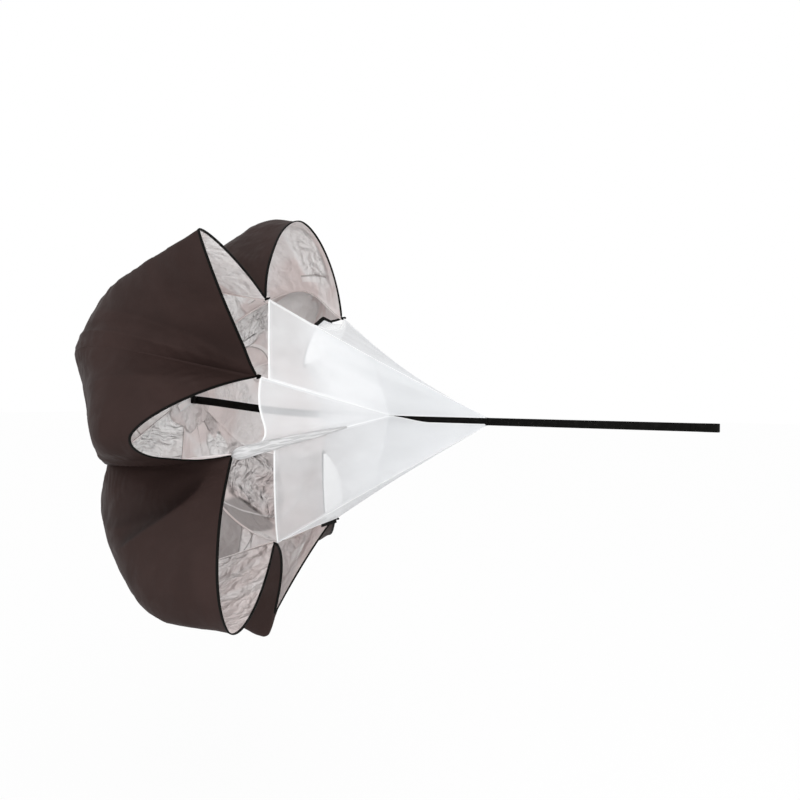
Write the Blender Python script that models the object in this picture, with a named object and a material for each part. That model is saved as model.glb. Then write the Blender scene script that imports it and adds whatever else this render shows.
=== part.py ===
"""Speed parachute: a domed canopy of eight gores, a cone of net, a strap in two lengths and a belt loop.

Lengths are in metres. X runs from the crown to the runner, Z is up and -Y is the near side. The origin is
the flat inner face of the loop's far end, which bears on the runner's belt. The canopy is filled with air.
"""

import math

import bmesh
import bpy
import numpy as np

# Webbing and loop
WEBBING_WIDTH = 0.0150
WEBBING_THICKNESS = 0.0016
TOW_LENGTH = 0.3840
LOOP_LENGTH = 0.0460
LOOP_OPENING = 0.0110
LOOP_FACE = 0.0080
LOOP_SEAM_LENGTH = 0.0110
BARTACK_LENGTH = 0.0070
BARTACK_THICKNESS = 0.0006
STRAP_ROOT_WIDTH = 0.0190
STRAP_SAG = 0.0070
FOLD_LENGTH = 0.0180
LOOP_SWELL_SHARES = ((0.12, 0.22), (0.28, 0.52), (0.48, 0.80), (0.68, 0.97), (0.84, 1.0), (0.95, 0.96))

# Net
NET_LENGTH = 0.4360
NET_THICKNESS = 0.0010
NET_SLIT_REACH = 0.2110
NET_SEAM_SAG = 0.0180
NET_FOLD_DEPTH = 0.0060
SLIT_RISES = (0.0082, 0.0056)
APEX_BINDING_LENGTH = 0.0110
APEX_BINDING_HALF_HEIGHT = 0.0105
APEX_BINDING_HALF_WIDTH = 0.0058
ROLL_HALF_HEIGHT = 0.0140
ROLL_HALF_DEPTH = 0.0060
ROLL_REACH = 0.1300
ROLL_RISE = 0.0015

# Canopy
MOUTH_RADIUS = 0.2620
ARCH_RADIUS = 0.4480
CANOPY_DEPTH = 0.3630
CROWN_RADIUS = 0.0450
CROWN_RISE = 0.0340
CREASE_DEPTH = 0.0090
CLOTH_THICKNESS = 0.0012
BINDING_WIDTH = 0.0050
BINDING_THICKNESS = 0.0018
TAB_LENGTH = 0.0130
TAB_WIDTH = 0.0096
TAB_THICKNESS = 0.0040
TAPE_THICKNESS = 0.0016
BENT_TAPE_WIDTH = 0.0080
BENT_TAPE_REACH = 0.0270
LOWER_TAPE_LENGTH = 0.0550
LOWER_TAPE_HALF_WIDTH = 0.0080
STRIP_WIDTH = 0.0200
STRIP_BACK = 0.0200
STRIP_REACH = 0.0400

# Clearances between sewn pieces
GAP = 0.0003
SEAM_INSET = CLOTH_THICKNESS / 2 + GAP
NET_INSET = NET_THICKNESS + GAP
TAB_START = CLOTH_THICKNESS + GAP / 3
PATCH_OFFSET = CLOTH_THICKNESS + 4 * GAP
STRIP_OFFSET = PATCH_OFFSET + CLOTH_THICKNESS / 2 + GAP
NET_START = TAB_START + TAB_LENGTH + NET_THICKNESS / 2 + 2 * GAP

# Places along the strap
LOOP_HINGE_X = -LOOP_LENGTH
APEX_X = LOOP_HINGE_X - TOW_LENGTH
MOUTH_X = APEX_X - NET_LENGTH
CROWN_X = MOUTH_X - CANOPY_DEPTH

# The valleys between gores, from the upper far corner round by the near side. Angles are in degrees from the
# top towards the near side. Each pair is a reach forward of the mouth, as a share of the canopy's depth, and
# a distance from the strap, as a share of the mouth's radius: at the hem, the shoulder and the back.
VALLEY_NAMES = ("upper_far", "upper_near", "near_upper", "near_lower",
                "lower_near", "lower_far", "far_lower", "far_upper")
VALLEY_ANGLES = (-28.5, 32.0, 71.5, 106.0, 156.0, 203.6, 248.0, 297.8)
VALLEY_SHARES = (
    ((0.00, 1.00), (-0.48, 1.35), (-1.02, 0.86)),
    ((0.00, 1.11), (-0.56, 1.22), (-1.00, 0.87)),
    ((0.16, 1.00), (-0.53, 1.66), (-0.97, 1.28)),
    ((0.00, 1.00), (-0.63, 1.35), (-0.83, 1.04)),
    ((0.00, 1.11), (-0.64, 1.39), (-0.83, 0.89)),
    ((0.00, 1.00), (-0.60, 1.33), (-1.02, 0.88)),
    ((-0.37, 1.00), (-0.70, 1.24), (-1.04, 0.86)),
    ((-0.53, 1.02), (-0.78, 1.24), (-1.04, 0.86)),
)

# The ridges of the gores, in the same order and form, with distances as shares of the arch radius. The
# roundness is that of the arch's first and second half: 2 is an ellipse, 1 is straight, and below 1 it
# hollows to a point, which is blunted over a share of the half.
GORE_NAMES = ("top", "upper_near", "near", "lower_near", "bottom", "lower_far", "far", "upper_far")
RIDGE_ANGLES = (-2.4, 54.6, 93.6, 131.3, 182.7, 226.0, 269.0, 315.7)
RIDGE_SHARES = (
    ((-0.11, 0.99), (-0.50, 0.97), (-1.04, 0.49)),
    ((0.29, 1.26), (-0.74, 0.94), (-1.05, 0.61)),
    ((-0.15, 1.03), (-0.45, 1.02), (-1.04, 0.51)),
    ((0.37, 1.22), (-0.30, 1.16), (-1.11, 0.59)),
    ((-0.30, 1.03), (-0.45, 1.15), (-1.02, 0.73)),
    ((-0.48, 0.98), (-0.70, 1.05), (-1.06, 0.62)),
    ((-0.60, 0.95), (-0.76, 0.94), (-1.06, 0.58)),
    ((-0.38, 0.72), (-0.66, 1.10), (-1.06, 0.62)),
)
ARCH_ROUNDNESS = (
    (1.82, 1.77), (1.32, 1.21), (1.70, 1.87), (2.17, 1.68),
    (0.70, 0.79), (1.60, 1.60), (2.00, 2.00), (1.71, 0.91),
)
BACK_ROUNDNESS = (1.4, 2.0)
BLUNT_SHARE = 0.05
PROFILE_KNOTS = (0.0, 0.42, 0.78, 1.0)

# The long crease that the pull on one corner draws across the lower near gore: from the corner to its end,
# as a place from hem to crown and a place across, its width, its hollow's place, and how it comes and goes.
CREASED_GORE = 3
CREASE_START_SHARES = (0.0, -1.0)
CREASE_END_SHARES = (0.80, 0.25)
CREASE_WIDTH_SHARE = 0.16
CREASE_HOLLOW_SHARE = 1.6
CREASE_FADE_SHARES = (0.25, 0.5)

# Where each net seam meets the apex binding, in degrees, and the seams that part round the strap
LANDING_ANGLES = (-30.0, 12.0, 38.0, 124.0, 168.0, 205.0, 248.0, 292.0)
SLIT_SEAMS = (2, 3)

# Where each net panel's hem starts on its first and on its second seam, how far it bows forward between
# them, as shares of the net's length, and how far the bow leans to the second seam. Then each seam's sag.
HEM_SHARES = (
    (0.00, 0.20, 0.080, 1.0),
    (0.00, 0.03, 0.000, 1.0),
    (0.001, 0.04, 0.042, 2.6),
    (0.115, 0.00, 0.008, 1.0),
    (0.02, 0.00, 0.010, 1.0),
    (0.03, 0.00, 0.066, 1.0),
    (0.00, 0.00, 0.055, 1.0),
    (0.00, 0.03, 0.066, 1.0),
)
SEAM_SAG_SHARES = (1.0, 0.4, 0.0, 0.0, 0.2, 0.3, 0.5, 0.6)
SLIT_OPEN_SHARE = 0.45
FOLD_WAVES = 3
FOLD_START_SHARE = 0.7

# The bent tape, from the upper far corner towards the upper near one: along the line between them and in
# from it, as shares of that line. The net is gathered below it, between two places across the top panel.
BENT_TAPE_SHARES = ((0.286, 0.080), (0.401, 0.062), (0.520, 0.144))
GATHER_SHARES = (0.14, 0.62)
GATHER_ROWS = 5
LOWER_TAPE_END_SHARE = 0.45
LOWER_TAPE_DROP_SHARE = 0.02
ROLL_PROFILE_SHARES = (
    (0.0, 0.10), (0.03, 0.62), (0.08, 0.92), (0.20, 1.00),
    (0.42, 0.98), (0.66, 0.70), (0.86, 0.42), (1.0, 0.12),
)
ROLL_DROP_SHARE = 0.33
CROWN_PATCH_SHARE = 0.20
STRIP_ANGLE = 118.0
TAB_NARROW_SHARE = 0.55

GORE_ROWS = 14
GORE_COLUMNS = 16
HEM_ROW_POWER = 1.25
NET_ROWS = 9
NET_COLUMNS = 8
STRAP_STEPS = 24
ROUND_STEPS = 8

DARK_NYLON = ("dark_nylon", (0.045, 0.028, 0.025), 0.55)
SILVER_COATING = ("silver_coating", (0.56, 0.53, 0.53), 0.42)
BLACK_WEBBING = ("black_webbing", (0.010, 0.010, 0.010), 0.75)
BLACK_BINDING = ("black_binding", (0.014, 0.013, 0.013), 0.70)
WHITE_NET = ("white_net", (0.88, 0.89, 0.90), 0.85)
WHITE_TAPE = ("white_tape", (0.86, 0.86, 0.85), 0.80)


def material(finish):
    """The shared material of a finish given as its name, colour and roughness."""
    name, colour, roughness = finish
    made = bpy.data.materials.get(name)
    if made is None:
        made = bpy.data.materials.new(name)
        made.use_nodes = True
        shader = made.node_tree.nodes["Principled BSDF"]
        shader.inputs["Base Color"].default_value = (*colour, 1.0)
        shader.inputs["Roughness"].default_value = roughness
        shader.inputs["Metallic"].default_value = 0.0
    return made


def placed(name, points, faces, finish, origin=(0.0, 0.0, 0.0)):
    """An object from world points and faces, its faces turned outwards and its origin where it is told."""
    shape = bmesh.new()
    corners = [shape.verts.new(point) for point in (np.asarray(points) - origin).tolist()]
    for face in faces:
        shape.faces.new([corners[index] for index in face])
    bmesh.ops.recalc_face_normals(shape, faces=shape.faces)
    if shape.calc_volume(signed=True) < 0:
        bmesh.ops.reverse_faces(shape, faces=shape.faces)
    mesh = bpy.data.meshes.new(name)
    shape.to_mesh(mesh)
    shape.free()
    mesh.shade_smooth()
    mesh.set_sharp_from_angle(angle=math.radians(40))
    mesh.materials.append(material(finish))
    made = bpy.data.objects.new(name, mesh)
    made.location = origin
    bpy.context.scene.collection.objects.link(made)
    return made


def unit(vectors):
    """The vectors scaled to a length of one."""
    return vectors / np.linalg.norm(vectors, axis=-1, keepdims=True)


def turned(forward, out, angle):
    """Points forward of the mouth and out from the strap, at an angle from the top to the near side."""
    angle = np.radians(angle)
    return np.stack([MOUTH_X + forward, -out * np.sin(angle), out * np.cos(angle)], axis=-1)


def through(knots, values, places):
    """A smooth curve through values at knots, in cubic pieces with the slopes of the neighbouring chords."""
    knots, values = np.asarray(knots, float), np.asarray(values, float)
    chords = (values[1:] - values[:-1]) / (knots[1:] - knots[:-1])[:, None]
    inner = (values[2:] - values[:-2]) / (knots[2:] - knots[:-2])[:, None]
    slopes = np.concatenate([chords[:1], inner, chords[-1:]])
    piece = np.clip(np.searchsorted(knots, places, side="right") - 1, 0, len(knots) - 2)
    span = (knots[piece + 1] - knots[piece])[:, None]
    share = (np.asarray(places) - knots[piece])[:, None] / span
    return ((1 + 2 * share) * (1 - share) ** 2 * values[piece]
            + share * (1 - share) ** 2 * span * slopes[piece]
            + share ** 2 * (3 - 2 * share) * values[piece + 1]
            + share ** 2 * (share - 1) * span * slopes[piece + 1])


def meridian(shares, radius, angle, places):
    """One line from the hem to the crown, at places from 0 to 1."""
    stations = [(forward * CANOPY_DEPTH, out * radius, 0.0) for forward, out in shares]
    stations.append((-CANOPY_DEPTH, CROWN_RADIUS, CROWN_RISE))
    forward, out, rise = through(PROFILE_KNOTS, stations, places).T
    return turned(forward, out, angle) + rise[:, None] * (0.0, 0.0, 1.0)


def valley(index, places):
    """The seam line between two gores."""
    index %= len(VALLEY_NAMES)
    return meridian(VALLEY_SHARES[index], MOUTH_RADIUS, VALLEY_ANGLES[index], places)


def ridge(index, places):
    """The crest line of a gore."""
    return meridian(RIDGE_SHARES[index], ARCH_RADIUS, RIDGE_ANGLES[index], places)


def gore_surface(index, places, across):
    """The middle surface of a gore: rows from hem to crown, columns from one seam (-1) to the next (1).

    A point lies on the chord between the two seams, raised towards the ridge by the arch's height there: an
    ellipse at the hem, or a pointed arch, that turns into a parabola over the shoulder.
    """
    left, right, crest = valley(index, places), valley(index + 1, places), ridge(index, places)
    chord = unit(right - left)
    left, right = left + chord * SEAM_INSET, right - chord * SEAM_INSET
    middle, half = (left + right) / 2, (right - left) / 2
    power = np.where(across < 0, *ARCH_ROUNDNESS[index])
    side = np.clip(np.abs(across), 0, 1)
    blunt = np.where(power < 1, BLUNT_SHARE, 0.0)
    rounded = (np.hypot(side, blunt) - blunt) / (np.hypot(1.0, blunt) - blunt)
    at_hem = (1 - np.clip(rounded, 0, 1) ** power) ** (1 / power)
    behind = 1 - side ** np.clip(power, *BACK_ROUNDNESS)
    turn = eased(np.asarray(places) / PROFILE_KNOTS[1])[:, None]
    height = (1 - turn) * at_hem[None, :] + turn * behind[None, :]
    if index == CREASED_GORE:
        height = height + crease(places, across) * CREASE_DEPTH / ARCH_RADIUS
    raised = (crest - middle)[:, None] * height[..., None]
    return middle[:, None] + half[:, None] * across[None, :, None] + raised


def eased(share):
    """A smooth step from 0 to 1."""
    share = np.clip(share, 0, 1)
    return share ** 2 * (3 - 2 * share)


def crease(places, across):
    """The crease's rise over a gore, from 1 on its crest to less than 0 in the hollow beside it."""
    start, end = np.array(CREASE_START_SHARES), np.array(CREASE_END_SHARES)
    way = end - start
    down, sideways = np.meshgrid(places - start[0], across - start[1], indexing="ij")
    along = (down * way[0] + sideways * way[1]) / np.dot(way, way)
    beside = (down * way[1] - sideways * way[0]) / np.linalg.norm(way) / CREASE_WIDTH_SHARE
    coming, going = CREASE_FADE_SHARES
    fade = np.clip(along / coming, 0, 1) * np.clip((1 - along) / going, 0, 1) * (1 - across[None, :] ** 2)
    return fade * (np.exp(-beside ** 2) - np.exp(-(beside - CREASE_HOLLOW_SHARE) ** 2))


def grid_normals(grid, cyclic=False):
    """Unit normals of a grid of points, from the differences along its rows and columns."""
    if cyclic:
        wrapped = np.concatenate([grid[:, -1:], grid, grid[:, :1]], axis=1)
        across = np.gradient(wrapped, axis=1)[:, 1:-1]
    else:
        across = np.gradient(grid, axis=1)
    return unit(np.cross(across, np.gradient(grid, axis=0)))


def shell(name, grid, thickness, finish, offset=0.0, cyclic=False):
    """A closed sheet of cloth about a grid of points, moved along its normals by an offset.

    Each cell is cut along the same, shorter diagonal on both faces, so that the faces stay apart. Columns
    that close on themselves make a disc, whose last row is filled.
    """
    normals = grid_normals(grid, cyclic)
    rows, columns = grid.shape[:2]
    front = grid + normals * (offset + thickness / 2)
    back = grid + normals * (offset - thickness / 2)
    points = np.concatenate([front.reshape(-1, 3), back.reshape(-1, 3)])
    number = np.arange(rows * columns).reshape(rows, columns)
    if cyclic:
        number = np.concatenate([number, number[:, :1]], axis=1)
    behind = number + rows * columns
    faces = []
    for row in range(number.shape[0] - 1):
        for column in range(number.shape[1] - 1):
            first, second = number[row, column:column + 2]
            fourth, third = number[row + 1, column:column + 2]
            falling, rising = points[first] - points[third], points[second] - points[fourth]
            if np.linalg.norm(falling) > np.linalg.norm(rising):
                first, second, third, fourth = second, third, fourth, first
            for triangle in ((first, second, third), (first, third, fourth)):
                faces.append(triangle)
                faces.append(tuple(index + rows * columns for index in reversed(triangle)))
    edges = [(number[0], behind[0])]
    if cyclic:
        faces += [tuple(number[-1, :-1]), tuple(reversed(behind[-1, :-1]))]
    else:
        edges += [(behind[-1], number[-1]), (behind[:, 0], number[:, 0]), (number[:, -1], behind[:, -1])]
    for first, second in edges:
        for step in range(len(first) - 1):
            faces.append((first[step + 1], first[step], second[step], second[step + 1]))
    return placed(name, points, faces, finish)


def ribbon(name, centres, wide, flat, width, thickness, finish, origin=(0.0, 0.0, 0.0)):
    """A band of rectangular section along centres, with the ways of its width and its thickness at each."""
    wide, flat = wide * width / 2, flat * thickness / 2
    section = [centres - wide - flat, centres + wide - flat, centres + wide + flat, centres - wide + flat]
    points = np.stack(section, axis=1).reshape(-1, 3)
    faces = [(3, 2, 1, 0), tuple(len(points) - 4 + side for side in range(4))]
    for step in range(len(centres) - 1):
        for side in range(4):
            near, following = 4 * step + side, 4 * step + (side + 1) % 4
            faces.append((near, following, following + 4, near + 4))
    return placed(name, points, faces, finish, origin)


def tube(name, centres, wide, deep, finish):
    """A round, tapering form: centres with the half-width and half-depth vectors of its section at each."""
    turn = np.linspace(0, 2 * math.pi, ROUND_STEPS, endpoint=False)
    points = (centres[:, None] + np.cos(turn)[None, :, None] * wide[:, None]
              + np.sin(turn)[None, :, None] * deep[:, None]).reshape(-1, 3)
    last = len(points) - ROUND_STEPS
    faces = [tuple(reversed(range(ROUND_STEPS))), tuple(range(last, len(points)))]
    for step in range(len(centres) - 1):
        for side in range(ROUND_STEPS):
            here = step * ROUND_STEPS + side
            beside = step * ROUND_STEPS + (side + 1) % ROUND_STEPS
            faces.append((here, beside, beside + ROUND_STEPS, here + ROUND_STEPS))
    return placed(name, points, faces, finish)


def prism(name, outline, low, high, finish, hole=None, origin=(0.0, 0.0, 0.0), frame=None):
    """An outline raised between two heights, with a hole of as many points where one is given.

    The outline lies in X and Y and the height runs along Z, unless a frame gives three other directions.
    """
    rings = [outline] if hole is None else [outline, hole]
    count = len(outline)
    flat = np.concatenate(rings)
    points = np.concatenate([np.column_stack([flat, np.full(len(flat), height)]) for height in (low, high)])
    if frame is not None:
        points = points @ np.asarray(frame)
    points = points + np.asarray(origin)
    total, faces = len(flat), []
    for ring in range(len(rings)):
        for step in range(count):
            here, following = ring * count + step, ring * count + (step + 1) % count
            faces.append((here, following, following + total, here + total))
    if hole is None:
        faces += [tuple(reversed(range(count))), tuple(range(total, total + count))]
    else:
        for step in range(count):
            following = (step + 1) % count
            faces.append((following, step, count + step, count + following))
            faces.append((total + step, total + following, total + count + following, total + count + step))
    return placed(name, points, faces, finish, origin)


def row_places():
    """Places of the gore's rows from hem to crown, closer together at the hem."""
    return np.linspace(0, 1, GORE_ROWS) ** HEM_ROW_POWER


def arch_columns(count):
    """Places of columns across a gore, closer together at its seams."""
    return -np.cos(np.linspace(0, math.pi, count + 1))


def gores():
    """The eight gores."""
    for index, place in enumerate(GORE_NAMES):
        grid = gore_surface(index, row_places(), arch_columns(GORE_COLUMNS))
        shell(f"gore_{place}", grid, CLOTH_THICKNESS, DARK_NYLON)


def hem_bindings():
    """A narrow binding along each gore's arched front edge, mitred at its turns, short of the tabs."""
    for index, place in enumerate(GORE_NAMES):
        hem, behind = gore_surface(index, row_places()[:2], arch_columns(GORE_COLUMNS))
        travelled = np.concatenate([[0], np.cumsum(np.linalg.norm(np.diff(hem, axis=0), axis=1))])
        first, last = TAB_WIDTH, travelled[-1] - TAB_WIDTH
        between = travelled[(travelled > first + BINDING_WIDTH) & (travelled < last - BINDING_WIDTH)]
        stations = np.concatenate([[first], between, [last]])
        centres = np.column_stack([np.interp(stations, travelled, hem[:, axis]) for axis in range(3)])
        back = behind - hem
        inward = np.column_stack([np.interp(stations, travelled, back[:, axis]) for axis in range(3)])
        steps = unit(np.diff(centres, axis=0))
        meeting = np.concatenate([steps[:1] * 2, steps[1:] + steps[:-1], steps[-1:] * 2])
        along = unit(meeting)
        outward = unit(along * np.sum(inward * along, axis=1, keepdims=True) - inward)
        flat = np.cross(along, outward)
        outward = outward * 2 / np.linalg.norm(meeting, axis=1, keepdims=True)
        centres = centres + outward * (GAP + BINDING_WIDTH / 2)
        name = f"hem_binding_{place}"
        ribbon(name, centres, outward, flat, BINDING_WIDTH, BINDING_THICKNESS, BLACK_BINDING)


def corner(index):
    """The mouth corner of a seam, with the directions forward, out and round the mouth there."""
    angle = math.radians(VALLEY_ANGLES[index])
    point = valley(index, np.array([0.0]))[0]
    out = np.array([0.0, -math.sin(angle), math.cos(angle)])
    forward = np.array([1.0, 0.0, 0.0])
    return point, forward, out, np.cross(forward, out)


def corner_tabs():
    """A folded webbing tab at each mouth corner, between the canopy's seam and the net's corner."""
    half = TAB_WIDTH / 2
    narrow = half * TAB_NARROW_SHARE
    outline = np.array([(0.0, -half), (TAB_LENGTH, -narrow), (TAB_LENGTH, narrow), (0.0, half)])
    for index, place in enumerate(VALLEY_NAMES):
        point, forward, out, round_way = corner(index)
        prism(f"corner_tab_{place}", outline, -TAB_THICKNESS / 2, TAB_THICKNESS / 2, BLACK_WEBBING,
              origin=point + forward * TAB_START, frame=(forward, round_way, out))


def landing(index):
    """Where a net seam meets the apex binding, out from the strap's axis."""
    angle = math.radians(LANDING_ANGLES[index])
    near, up = -APEX_BINDING_HALF_WIDTH * math.sin(angle), APEX_BINDING_HALF_HEIGHT * math.cos(angle)
    return np.array([0.0, near, up])


def net_seam(index, places):
    """A seam of the net from its mouth corner (0) to the apex binding (1).

    The seams that part round the strap reach it early and run on beside it; the others sag in a little.
    """
    index %= len(VALLEY_NAMES)
    point, forward, out, _ = corner(index)
    start = point + forward * NET_START
    end = landing(index) + np.array([APEX_X - APEX_BINDING_LENGTH - 2 * GAP - WEBBING_THICKNESS, 0.0, 0.0])
    places = np.asarray(places)[:, None]
    if index not in SLIT_SEAMS:
        sag = NET_SEAM_SAG * SEAM_SAG_SHARES[index] * np.sin(math.pi * places)
        return start + (end - start) * places - out * sag
    knee = end.copy()
    knee[0] = MOUTH_X + NET_SLIT_REACH
    knee[2] = SLIT_RISES[SLIT_SEAMS.index(index)]
    share = knee_share()
    after = np.clip((places - share) / (1 - share), 0, 1)
    beyond = knee + (end - knee) * np.concatenate([after, after, eased(after / SLIT_OPEN_SHARE)], axis=1)
    return np.where(places < share, start + (knee - start) * places / share, beyond)


def knee_share():
    """The place along a parted seam at which it reaches the strap."""
    return NET_SLIT_REACH / NET_LENGTH


def net_surface(index, rows, across):
    """The middle surface of a net panel: rows from its bowed hem to its far end, columns from seam to seam.

    The panel is ruled between its two seams, with shallow folds that fade out at the seams, the hem and the
    far end.
    """
    reach = knee_share() if index == SLIT_SEAMS[0] else 1.0
    first, last, bow, lean = HEM_SHARES[index]
    leaning = across ** lean
    start = first + (last - first) * across + bow * 4 * leaning * (1 - leaning)
    lines = []
    for column, place in enumerate(across):
        places = start[column] + (reach - start[column]) * rows
        left, right = net_seam(index, places), net_seam(index + 1, places)
        chord = unit(right - left)
        left, right = left + chord * NET_INSET, right - chord * NET_INSET
        lines.append(left + (right - left) * place)
    grid = np.stack(lines, axis=1)
    wave = np.sin(FOLD_WAVES * math.pi * across)[None, :] * np.sin(math.pi * across)[None, :]
    fade = (np.sin(math.pi * rows ** FOLD_START_SHARE) ** 2 * (1 - rows))[:, None]
    return grid + grid_normals(grid) * (NET_FOLD_DEPTH * wave * fade)[..., None]


def net_panels():
    """The eight net panels."""
    rows = np.linspace(0, 1, NET_ROWS)
    across = np.linspace(0, 1, NET_COLUMNS + 1)
    for index in range(len(VALLEY_NAMES)):
        shell(f"net_panel_{GORE_NAMES[index]}", net_surface(index, rows, across), NET_THICKNESS, WHITE_NET)


def apex_binding():
    """The binding that closes the net's point round the strap."""
    steps = 4 * ROUND_STEPS
    turn = np.linspace(0, 2 * math.pi, steps, endpoint=False)
    circle = np.column_stack([np.cos(turn), np.sin(turn)])
    outline = circle * (APEX_BINDING_HALF_WIDTH, APEX_BINDING_HALF_HEIGHT)
    square = np.clip(circle * math.sqrt(2), -1, 1)
    hole = square * (WEBBING_THICKNESS / 2 + GAP, WEBBING_WIDTH / 2 + GAP)
    prism("net_apex_binding", outline, -APEX_BINDING_LENGTH, 0.0, WHITE_TAPE, hole=hole,
          origin=(APEX_X - WEBBING_THICKNESS / 2 - GAP, 0.0, 0.0),
          frame=((0.0, 1.0, 0.0), (0.0, 0.0, 1.0), (1.0, 0.0, 0.0)))


def corner_roll():
    """The net's corner rolled up along its seam, on the near side where the net parts round the strap."""
    index = SLIT_SEAMS[1]
    along, size = np.array(ROLL_PROFILE_SHARES).T
    _, _, out, round_way = corner(index)
    seam = net_seam(index, along * ROLL_REACH / NET_LENGTH)
    size = size[:, None]
    way = unit(seam[-1] - seam[0])
    above = unit(out - way * np.dot(out, way))
    lifted = seam + above * (NET_INSET + (ROLL_HALF_DEPTH + ROLL_RISE) * size)
    centres = lifted - round_way * ROLL_HALF_HEIGHT * ROLL_DROP_SHARE * size
    wide, deep = round_way * ROLL_HALF_HEIGHT * size, above * ROLL_HALF_DEPTH * size
    tube("net_corner_roll", centres, wide, deep, WHITE_NET)


def mouth_side(first, second):
    """A line between two mouth corners: its start, its way, its length and the way out from the strap."""
    start, forward, out, _ = corner(first)
    end = corner(second)[0]
    reach = np.linalg.norm(end - start)
    way = (end - start) / reach
    out = unit(np.cross(way, np.cross(out, way)))
    return start, way, reach, out


def bent_tape():
    """The tape that gathers the net's hem beside the upper far corner, and the gathered net below it."""
    start, way, reach, out = mouth_side(0, 1)
    forward = np.array([1.0, 0.0, 0.0])
    line = np.array([start + way * reach * along - out * reach * drop for along, drop in BENT_TAPE_SHARES])
    line = line + forward * BENT_TAPE_REACH
    steps = np.linspace(0, len(line) - 1, len(line) * 2 - 1)
    centres = np.column_stack([np.interp(steps, np.arange(len(line)), line[:, axis]) for axis in range(3)])
    along = unit(np.gradient(centres, axis=0))
    flat = np.tile(forward, (len(centres), 1))
    wide = unit(np.cross(flat, along))
    ribbon("net_bent_tape", centres, wide, flat, BENT_TAPE_WIDTH, TAPE_THICKNESS, BLACK_WEBBING)
    across = np.linspace(*GATHER_SHARES, len(centres))
    hem = net_surface(0, np.linspace(0, 1, NET_ROWS), across)[0]
    upper = centres + forward * (TAPE_THICKNESS / 2 + 2 * GAP + NET_THICKNESS / 2)
    lower = hem - unit(hem - upper) * (NET_THICKNESS + GAP)
    rows = np.linspace(0, 1, GATHER_ROWS)[:, None, None]
    shell("net_gather", upper + (lower - upper) * rows, NET_THICKNESS, WHITE_NET)


def lower_tape():
    """The wedge of tape on the lower far corner, along the bottom panel's side of the mouth."""
    start, way, reach, out = mouth_side(5, 4)
    first = TAB_WIDTH / 2 + 2 * GAP
    last = first + LOWER_TAPE_LENGTH
    wide, narrow = LOWER_TAPE_HALF_WIDTH, LOWER_TAPE_HALF_WIDTH * LOWER_TAPE_END_SHARE
    drop = reach * LOWER_TAPE_DROP_SHARE
    outline = np.array([(first, -wide), (last, -narrow), (last, narrow), (first, wide)]) - (0.0, drop)
    prism("net_lower_tape", outline, TAB_START, TAB_START + TAPE_THICKNESS, BLACK_WEBBING, origin=start,
          frame=(way, out, np.cross(way, out)))


def crown_patches():
    """The round patches sewn over the gores' tips, outside and in, and the strip under the strap's end."""
    rings = [gore_surface(index, row_places()[-2:], arch_columns(GORE_COLUMNS))[:, :-1]
             for index in range(len(GORE_NAMES))]
    before, tip = np.concatenate(rings, axis=1)
    edge = tip + (before - tip) * CROWN_PATCH_SHARE
    centre = tip.mean(axis=0)
    grid = np.stack([edge, tip, (tip + centre) / 2])
    outside = -np.sign(grid_normals(grid, True)[-1, :, 0].mean())
    offset = outside * PATCH_OFFSET
    shell("crown_patch_outer", grid, CLOTH_THICKNESS, DARK_NYLON, offset=offset, cyclic=True)
    shell("crown_patch_inner", grid, CLOTH_THICKNESS, SILVER_COATING, offset=-offset, cyclic=True)
    half = STRIP_WIDTH / 2
    back, front = -STRIP_BACK, STRIP_REACH
    outline = np.array([(back, -half), (front, -half), (front, half), (back, half)])
    angle = math.radians(STRIP_ANGLE)
    way = (0.0, -math.sin(angle), math.cos(angle))
    low, high = STRIP_OFFSET, STRIP_OFFSET + CLOTH_THICKNESS
    prism("crown_strip", outline, low, high, SILVER_COATING, origin=centre,
          frame=(way, np.cross((1.0, 0.0, 0.0), way), (1.0, 0.0, 0.0)))


def centre_line(places):
    """The centre strap's line from the crown (0) to the apex (1), and its width at each place.

    It falls and sags as far as the net's slit, narrows to it, and then runs level.
    """
    start = CROWN_X + STRIP_OFFSET + CLOTH_THICKNESS + GAP
    end = APEX_X - WEBBING_THICKNESS / 2 - GAP
    along = start + (end - start) * places
    slack = np.clip((along - start) / (MOUTH_X + NET_SLIT_REACH - start), 0, 1)
    height = CROWN_RISE * (1 - slack) - STRAP_SAG * np.sin(math.pi * slack) ** 2
    width = STRAP_ROOT_WIDTH + (WEBBING_WIDTH - STRAP_ROOT_WIDTH) * slack
    return np.column_stack([along, np.zeros_like(along), height]), width[:, None]


def centre_strap():
    """The centre strap and the folded, tacked end beside it at the crown."""
    centres, width = centre_line(np.linspace(0, 1, STRAP_STEPS))
    wide = np.tile((0.0, 0.0, 1.0), (len(centres), 1))
    flat = np.tile((0.0, 1.0, 0.0), (len(centres), 1))
    ribbon("centre_strap", centres, wide, flat, width, WEBBING_THICKNESS, BLACK_WEBBING)
    start = centres[0]
    side = WEBBING_THICKNESS + GAP
    near = np.linspace(start, start + (FOLD_LENGTH, 0.0, 0.0), 3) - (0.0, side, 0.0)
    ribbon("strap_fold", near, wide[:3], flat[:3], STRAP_ROOT_WIDTH, WEBBING_THICKNESS, BLACK_WEBBING)


def tow_strap():
    """The free strap, its ends rounded about the two lines on which it bends."""
    half = WEBBING_THICKNESS / 2
    turn = np.linspace(-math.pi / 2, math.pi / 2, ROUND_STEPS)
    right = np.column_stack([half * np.cos(turn), half * np.sin(turn)])
    left = np.column_stack([-TOW_LENGTH - half * np.cos(turn), -half * np.sin(turn)])
    prism("tow_strap", np.concatenate([right, left]), -WEBBING_WIDTH / 2, WEBBING_WIDTH / 2, BLACK_WEBBING,
          origin=(LOOP_HINGE_X, 0.0, 0.0))


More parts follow.
